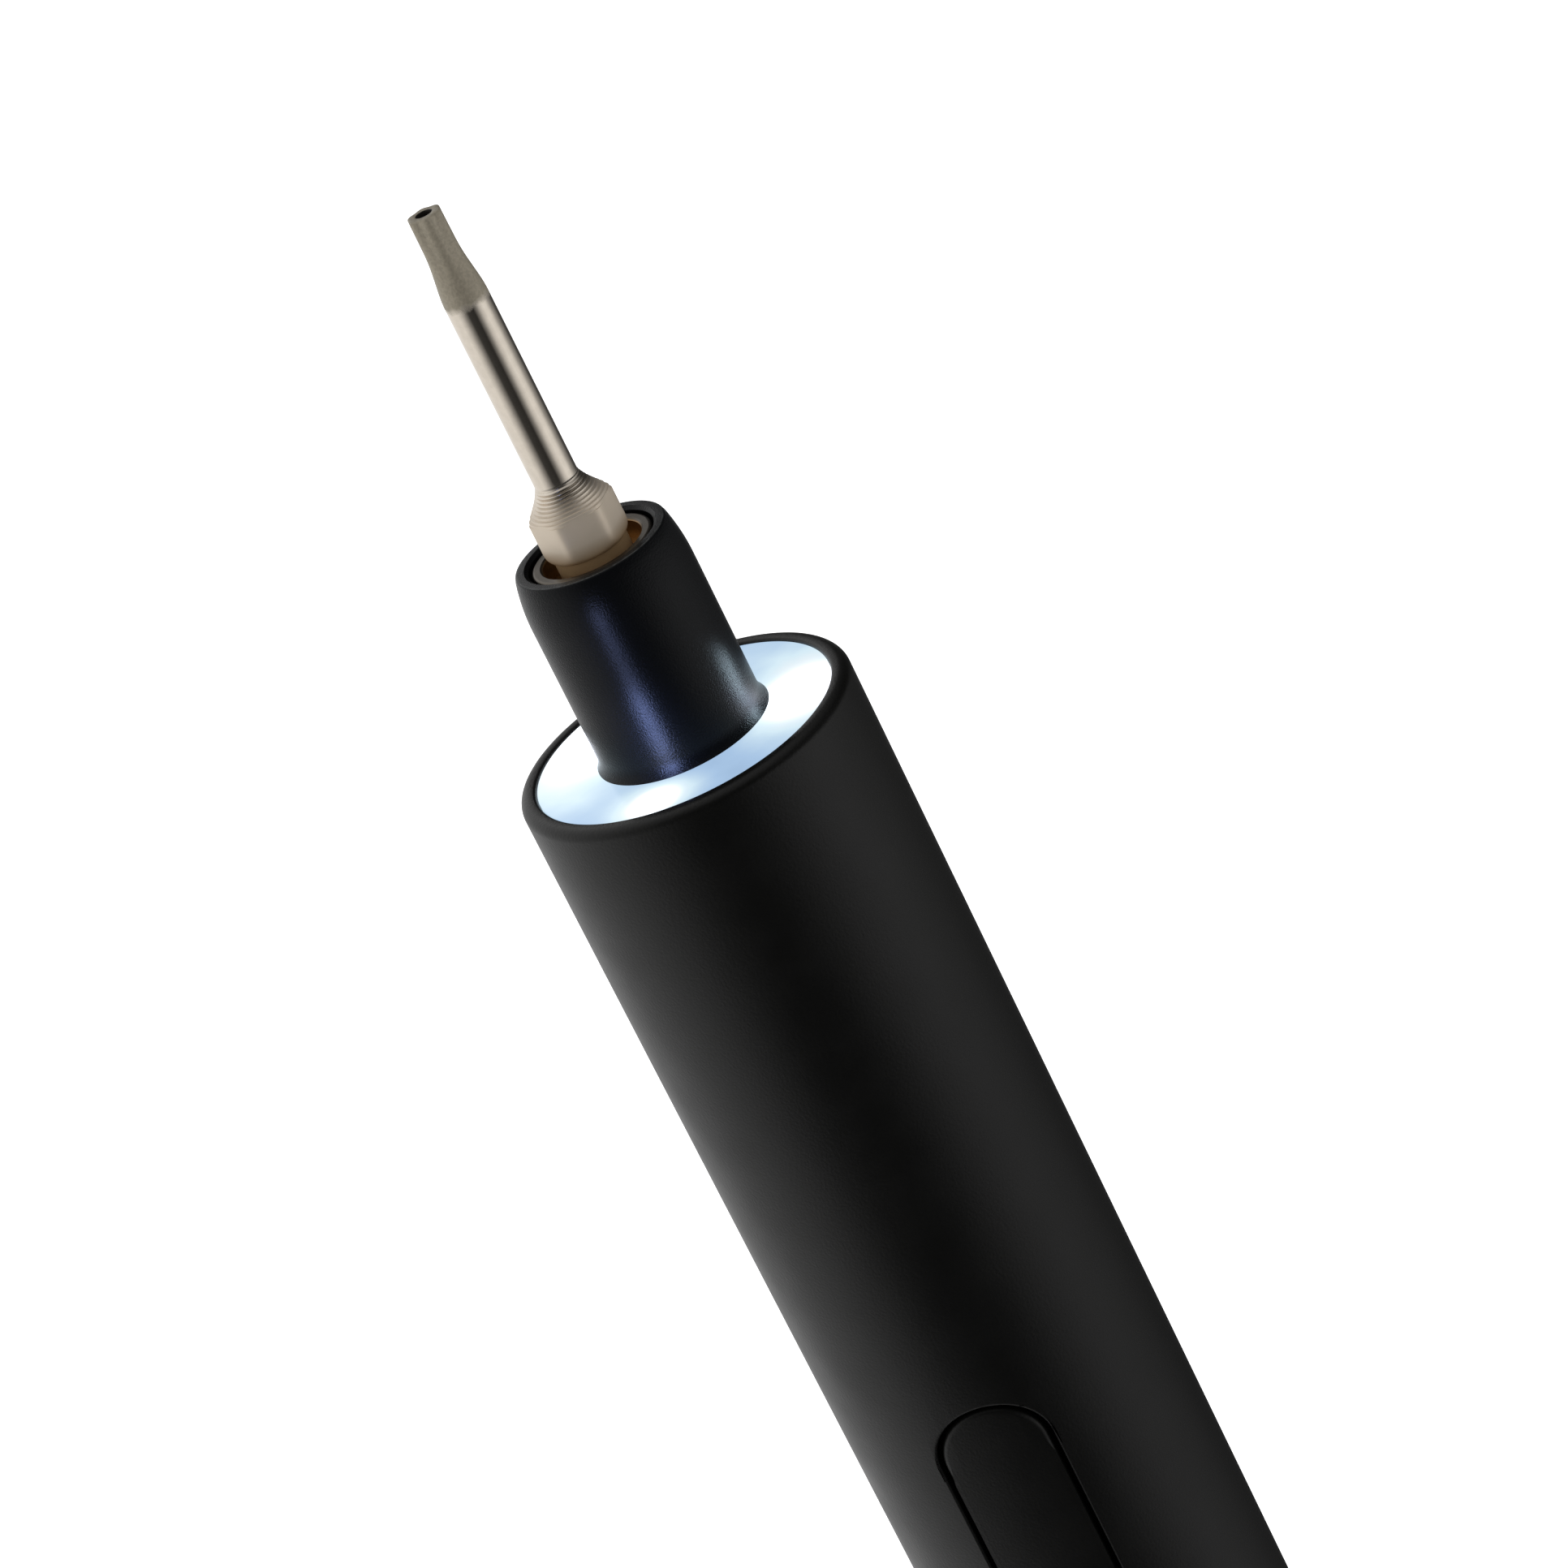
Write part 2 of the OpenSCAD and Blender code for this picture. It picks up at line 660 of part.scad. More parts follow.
// Two-flatted end that drives with the output carrier
module drive_2d(grow) {
    intersection() {
        circle(drive_d / 2 + grow);
        square([drive_d + 1, drive_d - 0.8 + 2 * grow], center = true);
    }
}

module bit_magnet() {
    color("#8c9096") translate([0, 0, bit_foot_z - magnet_t]) cylinder(d = magnet_d, h = magnet_t);
}

module thrust_washer() {
    color("silver") behind_rim(washer_at, washer_at + washer_t)
        tube_2d(journal_d / 2 + run + rear_bush_wall - 0.1, journal_d / 2 + run);
}

carrier_r = gear_m * ring_teeth / 2 - 2.2 * gear_m;

module output_carrier() {
    color("#85888c") behind_rim(carrier_2_at, carrier_2_at + carrier_2_t) difference() {
        circle(carrier_r);
        drive_2d(fit / 2);
        pin_holes();
    }
}

module output_pins() {
    planet_pins(carrier_2_at, output_planet_at + gear_w);
}

// First carrier and the second sun gear, made in one piece
module first_carrier() {
    color("#85888c") {
        behind_rim(carrier_1_at, carrier_1_at + carrier_1_t) difference() {
            circle(carrier_r);
            pin_holes();
        }
        behind_rim(output_planet_at, carrier_1_at + eps) rotate(sun_turn) spur_2d(sun_teeth);
    }
}

module first_pins() {
    planet_pins(carrier_1_at, first_planet_at + gear_w);
}

// Whole bit turned in one profile, its lower end cut to a hexagon, its tip fluted and drilled
module driver_bit() {
    color("#b5a792") difference() {
        intersection() {
            rotate_extrude() bit_profile();
            union() {
                translate([0, 0, bit_foot_z - 1]) linear_extrude(hollow_top_z - bit_foot_z + 1)
                    hexagon(hex_af);
                translate([0, 0, hollow_top_z]) cylinder(r = hex_af / 2 - 0.3, h = bit_top_z - hollow_top_z + 1);
            }
        }
        for (i = [0:5]) rotate(hex_turn + i * 60) translate([flute_x, 0, bit_top_z]) rotate([0, flute_lean, 0])
            cylinder(r = flute_r, h = 2 * bit_tip_l, center = true);
        translate([0, 0, bit_top_z - bit_hole_l]) cylinder(d = bit_hole_d, h = bit_hole_l + 1);
    }
}

// Half outline: chamfered foot, hexagon's corners, hollow turned from the corners to the shaft, shaft, tapered tip
module bit_profile() {
    shaft_r = bit_shaft_d / 2;
    step = corner_r - shaft_r;
    tip_r = bit_tip_d / 2;
    polygon(concat(
        [[0, bit_foot_z], [corner_r - foot_chamfer, bit_foot_z], [corner_r, bit_foot_z + foot_chamfer]],
        [for (k = [0:8]) [shaft_r + step * pow(1 - k / 8, hollow_power), hex_top_z + hollow_l * k / 8]],
        [[shaft_r, shaft_top_z], [tip_r, shaft_top_z + bit_root_l], [tip_r, bit_top_z - tip_chamfer],
            [tip_r - tip_chamfer, bit_top_z], [0, bit_top_z]]));
}

// ---------- button ----------

module button() {
    top_r = body_r - button_sunk;
    color("#161615") difference() {
        union() {
            intersection() {
                pill(button_w, button_l, button_mid_z, body_r + 1, flange_in_r - 1.2);
                shell(top_r, flange_in_r);
            }
            intersection() {
                pill(slot_w + 2 * flange_w, slot_l + 2 * flange_w, button_mid_z, body_r + 1, flange_in_r - 1.2);
                shell(flange_r, flange_in_r);
            }
            // feet over the rubber domes
            for (end = [-1, 1]) translate([0, dome_top_y - foot_gap, button_mid_z + end * press_arm])
                rotate([90, 0, 0]) cylinder(d = foot_d, h = flange_in_r + dome_top_y - foot_gap + 0.3);
            // lug on the pivot pin
            translate([-lug_w / 2, -lug_top, button_mid_z - lug_l / 2])
                cube([lug_w, lug_top + pivot_y + lug_drop, lug_l]);
        }
        translate([0, pivot_y, button_mid_z]) rotate([0, 90, 0])
            cylinder(d = pivot_d + 2 * run, h = lug_w + 1, center = true);
    }
}

module shell(outer, inner) {
    translate([0, 0, button_mid_z]) difference() {
        cylinder(r = outer, h = 2 * button_l, center = true, $fn = 128);
        cylinder(r = inner, h = 2 * button_l + 1, center = true, $fn = 128);
    }
}

module pivot_pin() {
    color("silver") translate([0, pivot_y, button_mid_z]) rotate([0, 90, 0])
        cylinder(d = pivot_d, h = 2 * (ear_x + ear_w) - 0.2, center = true);
}

// Silicone sheet with one hollow dome under each end of the button
module dome_pad() {
    pad_w = 2 * (ear_x - 0.2);
    pad_l = 2 * (press_arm + pad_margin);
    color("#8f979c") {
        translate([-pad_w / 2, board_y - pad_t, button_mid_z - pad_l / 2]) cube([pad_w, pad_t, pad_l]);
        for (end = [-1, 1]) translate([0, board_y - pad_t + eps, button_mid_z + end * press_arm])
            rotate([90, 0, 0]) cylinder(d1 = dome_d, d2 = dome_tip_d, h = board_y - pad_t - dome_top_y + eps);
    }
}

// ---------- electronics ----------

module main_board() {
    foot_z = rim_z - board_at - board_l;
    color("#1f5c3a") difference() {
        translate([-board_w / 2, board_y, foot_z]) cube([board_w, board_t, board_l]);
        for (side = [-1, 1])
            translate([side > 0 ? ear_x - 0.1 : -board_w, board_y - 1, button_mid_z - ear_l / 2 - 0.1])
                cube([board_w - ear_x + 0.1, board_t + 2, ear_l + 0.2]);
    }
}

module board_chips() {
    face_y = board_y + board_t;
    foot_z = rim_z - board_at - board_l;
    // [x, height up the board, width, length, thickness]
    chips = [[0, 20.5, 4, 4, 0.9], [-3.2, 6, 3, 3, 0.8], [3.3, 5.2, 3, 4, 1.2], [0, 9.5, 1.6, 3, 0.6]];
    color("#222426") for (c = chips)
        translate([c[0] - c[2] / 2, face_y, foot_z + c[1] - c[3] / 2]) cube([c[2], c[4], c[3]]);
}

module battery_cell() {
    color("#3d7fb8") difference() {
        behind_rim(cell_at, cell_at + cell_l) circle(cell_r);
        behind_rim(cell_at + 2.5, cell_at + 3.1) tube_2d(cell_r + 1, cell_r - 0.35);
    }
}

// Insulating ring round the positive cap, on the cell's front end
module battery_ring() {
    color("#e8e4d8") behind_rim(cell_at - 0.2, cell_at) tube_2d(cell_r - 0.5, 3.4);
}

// Welded nickel strips from both ends of the cell
module battery_tabs() {
    tab_t = 0.15;
    color("#c5c8ca") {
        behind_rim(cell_at - tab_t, cell_at) translate([-tab_w / 2, board_y - tab_t]) square([tab_w, tab_l]);
        translate([-tab_w / 2, board_y - tab_t, rim_z - cell_at])
            cube([tab_w, tab_t, cell_at - board_at - board_l + tab_l / 2]);
        behind_rim(cell_at + cell_l, cell_at + cell_l + tab_t) translate([-tab_w / 2, -tab_l / 2])
            square([tab_w, tab_l]);
    }
}

module usb_board() {
    color("#1f5c3a") difference() {
        translate([-usb_board_w / 2, usb_board_y, usb_board_z]) cube([usb_board_w, board_t, usb_board_l]);
        for (side = [-1, 1]) translate([side * usb_screw_x, usb_board_y - 1, usb_screw_z]) rotate([-90, 0, 0])
            cylinder(d = 1.3, h = board_t + 2);
    }
}

usb_screw_x = usb_board_w / 2 - 1.8;
usb_screw_z = cap_t + usb_board_l - 2;

module usb_board_screws() {
    color("silver") for (side = [-1, 1]) translate([side * usb_screw_x, usb_board_y, usb_screw_z]) {
        rotate([90, 0, 0]) cylinder(d = 2, h = 0.5);
        rotate([-90, 0, 0]) translate([0, 0, -eps]) cylinder(d = 1.2, h = board_t + 1.5);
    }
}

// Outline of the charging socket, a flat oval
module usb_2d(w, h) {
    square([w - h, h], center = true);
    for (side = [-1, 1]) translate([side * (w - h) / 2, 0]) circle(h / 2);
}

usb_wall = 0.3;

module usb_shell() {
    color("#c5c8ca") translate([0, 0, usb_z]) difference() {
        linear_extrude(usb_l) usb_2d(usb_w, usb_h);
        translate([0, 0, -eps]) linear_extrude(usb_l - 0.8 + eps) usb_2d(usb_w - 2 * usb_wall, usb_h - 2 * usb_wall);
    }
}

module usb_tongue() {
    color("#26282a") {
        translate([-tongue_w / 2, -tongue_t / 2, usb_z + 1]) cube([tongue_w, tongue_t, usb_l - 0.8 - 1]);
        translate([0, 0, usb_z + usb_l - 1.6]) linear_extrude(0.8) usb_2d(usb_w - 2 * usb_wall - 0.04,
            usb_h - 2 * usb_wall - 0.04);
    }
}

// Moulded tray that carries the boards, the cell and the button's pivot
module chassis() {
    rib_ats = [motor_at + 3, motor_end_at - 3];
    color("#3a3c3e") difference() {
        union() {
            intersection() {
                translate([0, 0, chassis_end_z]) linear_extrude(rim_z - motor_at - chassis_end_z - 0.1)
                    tube_2d(chassis_r, chassis_in_r);
                translate([-body_r, chassis_y, 0]) cube([body_d, body_d, body_l]);
            }
            for (at = rib_ats) behind_rim(at, at + 1) intersection() {
                tube_2d(chassis_in_r + 0.2, motor_r + fit);
                translate([-body_r, chassis_y]) square([body_d, body_d]);
            }
            for (at = [bay_at, bay_end_at]) behind_rim(at, at + bulkhead_t) difference() {
                circle(chassis_r);
                translate([-body_r, -body_r]) square([body_d, body_r - 3.2]);
                translate([-window_w / 2, window_y]) square(window_w);
                translate([channel_x - 0.3, window_y]) square([channel_w, chassis_y - window_y]);
            }
            // ledges under the main board and its two ears for the pivot pin
            for (side = [-1, 1]) {
                behind_rim(ledge_at, bay_at + 0.1) intersection() {
                    circle(chassis_r);
                    translate([side > 0 ? ledge_x : -body_r, board_y + board_t])
                        square([body_r - ledge_x, chassis_y + 1 - board_y - board_t]);
                }
                ear(side);
            }
            // posts for the charging board's screws
            intersection() {
                for (side = [-1, 1]) translate([side * usb_screw_x, usb_board_y + board_t, usb_screw_z])
                    rotate([-90, 0, 0]) cylinder(d = 2.6, h = body_r);
                translate([0, 0, usb_screw_z]) cylinder(r = chassis_in_r + 0.3, h = post_l, center = true);
            }
        }
        translate([0, pivot_y, button_mid_z]) rotate([0, 90, 0]) cylinder(d = pivot_d + 2 * fit, h = 2 * body_d, center = true);
        for (side = [-1, 1]) translate([side * usb_screw_x, usb_board_y + board_t - 0.1, usb_screw_z])
            rotate([-90, 0, 0]) cylinder(d = 1.2 + fit, h = 1.8);
    }
}

module ear(side) {
    top_y = pivot_y - ear_rise;
    x = side > 0 ? ear_x : -ear_x - ear_w;
    translate([x, top_y, button_mid_z - ear_l / 2]) cube([ear_w, board_y + board_t + 1 - top_y, ear_l]);
    translate([side > 0 ? ear_x : -5.2, board_y + board_t, button_mid_z - ear_l / 2]) cube([5.2 - ear_x, 1, ear_l]);
}

module rear_cap() {
    color("#1b1b1a") difference() {
        union() {
            rotate_extrude($fn = 128) difference() {
                square([body_r, cap_t]);
                corner_waste([body_r, 0], cap_round, 1, -1);
            }
            translate([0, 0, cap_t - eps]) linear_extrude(cap_spigot_l + eps) tube_2d(seat_r, seat_r - cap_wall);
        }
        translate([0, 0, -1]) linear_extrude(cap_t + 2) usb_2d(usb_w + 0.16, usb_h + 0.16);
    }
}

body_tube();
light_ring();
led_board();
leds();
led_flex();
nose_sleeve();
front_bush();
front_housing();
rear_bush();
ring_gear();
motor_plate();
motor_can();
motor_magnet();
motor_cap();
motor_bushes();
motor_brushes();
motor_screws();
motor_leads();
chassis();
main_board();
board_chips();
dome_pad();
pivot_pin();
battery_cell();
battery_ring();
battery_tabs();
usb_board();
usb_shell();
usb_tongue();
usb_board_screws();
rear_cap();
button();
spindle();
bit_magnet();
thrust_washer();
output_carrier();
output_pins();
planet(0, output_planet_at);  // output_planet_1
planet(1, output_planet_at);  // output_planet_2
planet(2, output_planet_at);  // output_planet_3
first_carrier();
first_pins();
planet(0, first_planet_at);  // first_planet_1
planet(1, first_planet_at);  // first_planet_2
planet(2, first_planet_at);  // first_planet_3
motor_pinion();
motor_shaft();
winding_cup();
winding_hub();
commutator();
driver_bit();
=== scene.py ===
"""Dresses a pen-style electric screwdriver: fine pieces, finishes, its lit ring and a plain pale studio."""
import json
import math

import bmesh
import bpy
from mathutils import Matrix, Vector


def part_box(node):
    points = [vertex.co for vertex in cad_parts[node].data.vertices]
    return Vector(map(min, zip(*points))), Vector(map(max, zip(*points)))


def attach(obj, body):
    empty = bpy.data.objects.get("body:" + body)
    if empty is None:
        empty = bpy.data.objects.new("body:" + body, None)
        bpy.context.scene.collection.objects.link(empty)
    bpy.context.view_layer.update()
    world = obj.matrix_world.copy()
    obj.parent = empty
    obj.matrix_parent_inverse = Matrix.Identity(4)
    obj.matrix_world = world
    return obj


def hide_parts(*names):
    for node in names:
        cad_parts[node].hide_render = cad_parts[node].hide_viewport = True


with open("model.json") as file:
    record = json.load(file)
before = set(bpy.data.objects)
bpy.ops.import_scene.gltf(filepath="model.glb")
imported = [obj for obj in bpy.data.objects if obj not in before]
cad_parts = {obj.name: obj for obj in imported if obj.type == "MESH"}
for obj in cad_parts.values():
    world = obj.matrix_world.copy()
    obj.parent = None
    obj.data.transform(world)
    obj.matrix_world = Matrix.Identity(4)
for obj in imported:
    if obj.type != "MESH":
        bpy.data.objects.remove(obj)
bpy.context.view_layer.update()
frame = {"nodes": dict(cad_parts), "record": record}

MM = 0.001
bpy.context.scene.view_settings.view_transform = "Standard"

# Sizes that the pieces share, in millimetres, taken from the frame
tube, ring, sleeve, bit, button = [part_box(node) for node in (
    "body_tube", "light_ring", "nose_sleeve", "driver_bit", "button")]
body_r = tube[1].y / MM
body_foot, rim = tube[0].z / MM, tube[1].z / MM
seat_r = ring[1].x / MM
ring_foot, ring_face = ring[0].z / MM, ring[1].z / MM
nose_foot, nose_top = sleeve[0].z / MM, sleeve[1].z / MM
bit_foot, bit_top = bit[0].z / MM, bit[1].z / MM
button_mid = (button[0].z + button[1].z) / 2 / MM
spindle_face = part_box("spindle")[1].z / MM

# Sizes that no box gives: the radii of the tube's bore, its front lip and the nose, the button with the gap
# round it, its slot, and how far its inner face lies from the axis
bore_r, lip_r, nose_r = 8.0, 7.86, 4.31
button_w, button_l, button_gap = 5.5, 25.0, 0.27
slot_w, slot_l = button_w + 2 * button_gap, button_l + 2 * button_gap
sole_r = 6.65

# Heights along the bit, from its hexagon in the socket to its tip, and the angle in degrees from +X to a
# corner of the hexagon
bit_seat_top = spindle_face - 1.1
bit_neck_foot = spindle_face - 0.8
bit_collar_low = spindle_face + 0.1
bit_hex_top = spindle_face + 2.35
bit_tip_l = 4.75
bit_tip_foot = bit_top - bit_tip_l
hex_turn = 14.6


# ---------- camera ----------

def place_camera():
    """Looks down at the lit front end from the front, rolled so that the tool leans to the left."""
    from_rim = Vector((62.84, -241.24, 107.37))
    forward = Vector((-0.21823, 0.88511, -0.41102)).normalized()
    up = Vector((0.34228, 0.46384, 0.81712))
    right = forward.cross(up).normalized()
    up = right.cross(forward)
    data = bpy.data.cameras.new("camera")
    data.lens = 128.3
    data.sensor_width = 36
    data.clip_start = 0.01
    data.clip_end = 50
    camera = bpy.data.objects.new("camera", data)
    bpy.context.scene.collection.objects.link(camera)
    turn = Matrix((right, up, -forward)).transposed().to_4x4()
    place = (from_rim + Vector((0, 0, rim))) * MM
    camera.matrix_world = Matrix.Translation(place) @ turn
    bpy.context.scene.camera = camera


place_camera()


# ---------- material building ----------

# Noise keeps mostly between these values: colours drift over the narrow span, gloss over the wide one
NARROW, WIDE = (0.35, 0.65), (0.3, 0.7)

# Stretch that draws noise out into the rings that a lathe leaves round the tool's axis
LATHE_LINES = (0.01, 0.01, 1)


class Nodes:
    """A node tree, with the few kinds of node that the finishes and the studio are built from."""

    def __init__(self, tree):
        self.tree = tree

    def add(self, kind, inputs=None, **settings):
        """New node with its settings made and its inputs fed."""
        node = self.tree.nodes.new(kind)
        for key, value in settings.items():
            setattr(node, key, value)
        for key, value in (inputs or {}).items():
            self.feed(node.inputs[key], value)
        return node

    def feed(self, socket, value):
        """Links an input to another node's output, or sets it to a plain value."""
        if isinstance(value, bpy.types.NodeSocket):
            self.tree.links.new(value, socket)
        else:
            socket.default_value = value

    def math(self, operation, *values):
        return self.add("ShaderNodeMath", dict(enumerate(values)), operation=operation).outputs[0]

    def plus(self, total, *others):
        for value in others:
            total = self.math("ADD", total, value)
        return total

    def times(self, total, *others):
        for value in others:
            total = self.math("MULTIPLY", total, value)
        return total

    def ramp(self, value, low, high, to_low=0.0, to_high=1.0):
        """Straight ramp from one value to another, flat outside them."""
        return self.add("ShaderNodeMapRange", {"Value": value, "From Min": low, "From Max": high,
                                               "To Min": to_low, "To Max": to_high}, clamp=True).outputs[0]

    def mix(self, factor, first, second):
        """Number between two others."""
        node = self.add("ShaderNodeMix", {"Factor": factor, 2: first, 3: second}, data_type="FLOAT")
        return node.outputs[0]

    def color_ramp(self, value, stops):
        """Colour by value, from places between 0 and 1 in rising order and the colour at each."""
        node = self.add("ShaderNodeValToRGB", {"Fac": value})
        made = node.color_ramp.elements
        for stop, (place, color) in zip((made[0], made[1]), (stops[0], stops[-1])):
            stop.position, stop.color = place, (*color, 1)
        for place, color in stops[1:-1]:
            made.new(place).color = (*color, 1)
        return node.outputs[0]


class Finish(Nodes):
    """One procedural material, built node by node around a Principled shader."""

    def __init__(self, name, color, roughness, metallic=0.0, specular=0.5):
        self.material = bpy.data.materials.new(name)
        self.material.use_nodes = True
        super().__init__(self.material.node_tree)
        self.shader = self.tree.nodes["Principled BSDF"]
        self.set("Base Color", (*color, 1))
        self.set("Roughness", roughness)
        self.set("Metallic", metallic)
        self.set("Specular IOR Level", specular)
        self.coords = self.add("ShaderNodeTexCoord").outputs["Object"]

    def set(self, socket, value):
        """Feeds one of the shader's own inputs."""
        self.feed(self.shader.inputs[socket], value)

    def axes(self):
        """The point's x, y and z, and its distance from the tool's axis, all in metres."""
        x, y, z = self.add("ShaderNodeSeparateXYZ", {"Vector": self.coords}).outputs
        return x, y, z, self.math("SQRT", self.plus(self.times(x, x), self.times(y, y)))

    def fade(self, place, none, full):
        """Mask over a place in metres: 0 at the first size in millimetres and 1 at the second."""
        return self.ramp(place, none * MM, full * MM)

    def noise(self, per_mm, detail=2.0, stretch=(1, 1, 1)):
        """Noise with about so many cells to a millimetre along each axis, times stretch."""
        place = self.add("ShaderNodeMapping", {"Vector": self.coords,
                                               "Scale": [per_mm / MM * s for s in stretch]})
        node = self.add("ShaderNodeTexNoise", {"Vector": place.outputs[0], "Scale": 1.0, "Detail": detail})
        return node.outputs["Fac"]

    def blend(self, factor, first, second):
        """Colour between two others."""
        node = self.add("ShaderNodeMix", data_type="RGBA")
        for socket, value in ((node.inputs[0], factor), (node.inputs[6], first), (node.inputs[7], second)):
            self.feed(socket, (*value, 1) if isinstance(value, tuple) else value)
        return node.outputs[2]

    def bump(self, height, depth_mm, strength):
        """Adds a relief to those that the shader already has."""
        previous = self.shader.inputs["Normal"].links
        node = self.add("ShaderNodeBump", {"Height": height, "Distance": depth_mm * MM,
                                           "Strength": strength})
        if previous:
            self.feed(node.inputs["Normal"], previous[0].from_socket)
        self.set("Normal", node.outputs[0])


def dimmed(color, share):
    """A colour made darker or brighter."""
    return tuple(c * share for c in color)


def vary(finish, color, per_mm, spread):
    """Lets the base colour drift a little to both sides of its mean, and returns the noise it follows."""
    cloud = finish.noise(per_mm, detail=3.0)
    low, high = dimmed(color, 1 - spread), dimmed(color, 1 + spread)
    finish.set("Base Color", finish.blend(finish.ramp(cloud, *NARROW), low, high))
    return cloud


# ---------- finishes ----------

def blasted_black():
    """Matte black anodising over a fine bead-blasted surface."""
    color = (0.0026, 0.0026, 0.0023)
    finish = Finish("blasted_black", color, 0.42, specular=0.3)
    cloud = vary(finish, color, per_mm=0.35, spread=0.12)
    finish.set("Roughness", finish.ramp(cloud, *WIDE, 0.38, 0.44))
    finish.bump(finish.noise(per_mm=7), depth_mm=0.018, strength=0.7)
    return finish.material


def nose_black():
    """Satin black anodising with metal grains, and a patchy lighter line at the front edge: partly wear
    through to metal, partly a painted highlight.
    """
    color, bare_metal_and_highlight = (0.0024, 0.0028, 0.0034), (0.05, 0.053, 0.053)
    line_r, line_half, line_fade = 3.84, 0.02, 0.06
    full_depth, no_depth = 0.06, 0.14
    faintest_patch = 0.3
    finish = Finish("nose_black", color, 0.32, specular=0.15)
    _, _, height, radius = finish.axes()
    # A patchy lighter line round the front edge: partly wear through to metal, partly a painted highlight
    off_line = finish.math("ABSOLUTE", finish.math("SUBTRACT", radius, line_r * MM))
    on_line = finish.fade(off_line, line_fade, line_half)
    on_front = finish.fade(height, nose_top - no_depth, nose_top - full_depth)
    patches = finish.ramp(finish.noise(per_mm=4, detail=3.0), 0.4, 0.6, faintest_patch, 1.0)
    wear_and_highlight = finish.times(on_line, on_front, patches)
    finish.set("Base Color", finish.blend(wear_and_highlight, color, bare_metal_and_highlight))
    finish.bump(finish.noise(per_mm=12), depth_mm=0.02, strength=1.0)
    return finish.material


def turned_steel(name, color, roughness, lines_per_mm, line_depth, grain_depth=0.0):
    """Bare metal with the fine rings that a lathe leaves round its axis."""
    finish = Finish(name, color, roughness, metallic=1.0)
    cloud = vary(finish, color, per_mm=0.6, spread=0.08)
    finish.set("Roughness", finish.ramp(cloud, *WIDE, roughness * 0.85, roughness * 1.2))
    finish.bump(finish.noise(lines_per_mm, stretch=LATHE_LINES), line_depth, strength=0.6)
    if grain_depth:
        finish.bump(finish.noise(per_mm=12), grain_depth, strength=0.6)
    return finish.material


def bit_finish():
    """Polished champagne plating on the shaft, satin on the collar, a blasted tip; painted shade, brown under
    the collar and dark in the tip's hole.
    """
    bright, collar, painted_shade_brown = (0.71, 0.64, 0.55), (0.6, 0.51, 0.4), (0.36, 0.24, 0.125)
    blasted, hole_shade = (0.305, 0.27, 0.205), (0.012, 0.01, 0.008)
    finish = Finish("bit_plating", bright, 0.16, metallic=1.0)
    _, _, height, radius = finish.axes()
    cloud = finish.noise(per_mm=2.2, detail=3.0)
    speck = finish.noise(per_mm=7, detail=3.0)

    # Where each stretch of the bit begins and ends; the tip's blasting starts along a wandering line
    wander = finish.times(finish.math("SUBTRACT", cloud, 0.5), 0.5 * MM)
    on_tip = finish.fade(finish.plus(height, wander), bit_tip_foot - 0.15, bit_tip_foot + 0.25)
    # The hole in the tip is coloured nearly black: painted shade in the recess
    in_hole = finish.times(on_tip, finish.fade(radius, 0.47, 0.42))
    below_shaft = finish.fade(height, bit_hex_top + 1.9, bit_hex_top + 1.6)
    above_socket = finish.fade(height, bit_seat_top, bit_neck_foot)
    on_collar = finish.times(finish.fade(height, bit_hex_top + 1.1, bit_hex_top), above_socket)
    # Painted shade with a painted warm reflection of the spindle's mouth: brown over the collar's lower
    # rounding and down the neck
    shade_under_collar = finish.times(finish.fade(height, bit_collar_low + 1.0, bit_collar_low + 0.1), above_socket)

    sheen = finish.blend(finish.ramp(cloud, *NARROW), dimmed(bright, 0.93), bright)
    stain = finish.blend(finish.ramp(speck, *NARROW), dimmed(blasted, 0.8), blasted)
    dressed = finish.blend(on_tip, sheen, stain)
    dressed = finish.blend(finish.times(on_collar, 0.8), dressed, collar)
    # Painted shade and reflection under the collar
    dressed = finish.blend(shade_under_collar, dressed, painted_shade_brown)
    # Painted shade in the tip's hole
    finish.set("Base Color", finish.blend(in_hole, dressed, hole_shade))

    # What the shaft's roughness is, and what the foot, the collar and the tip add to it
    shaft_rough, foot_more, collar_more, tip_more = 0.13, 0.12, 0.2, 0.34
    rough = finish.plus(shaft_rough, finish.times(below_shaft, foot_more),
                        finish.times(on_collar, collar_more), finish.times(on_tip, tip_more))
    finish.set("Roughness", rough)
    matte = finish.plus(finish.times(on_tip, 0.75), finish.times(on_collar, 0.52))
    finish.set("Metallic", finish.math("SUBTRACT", 1.0, matte))
    finish.bump(finish.noise(per_mm=9, stretch=LATHE_LINES), depth_mm=0.002, strength=0.5)
    finish.bump(finish.times(speck, on_tip), depth_mm=0.03, strength=0.7)
    return finish.material


def spindle_finish():
    """Warm grey steel whose drilled mouth shows bronze-brown."""
    face, mouth = (0.11, 0.096, 0.078), (0.42, 0.25, 0.1)
    finish = Finish("spindle_steel", face, 0.34, metallic=1.0)
    radius = finish.axes()[3]
    in_mouth = finish.fade(radius, 2.66, 2.58)
    cloud = finish.noise(per_mm=0.8, detail=3.0)
    finish.set("Base Color", finish.blend(in_mouth, face, mouth))
    finish.set("Roughness", finish.ramp(cloud, *WIDE, 0.3, 0.4))
    finish.bump(finish.noise(per_mm=9, stretch=LATHE_LINES), depth_mm=0.005, strength=0.6)
    return finish.material


def moulded(name, color, roughness):
    """Moulded plastic, rubber or card with a faint even grain."""
    finish = Finish(name, color, roughness)
    vary(finish, color, per_mm=0.8, spread=0.06)
    finish.bump(finish.noise(per_mm=6), depth_mm=0.01, strength=0.5)
    return finish.material


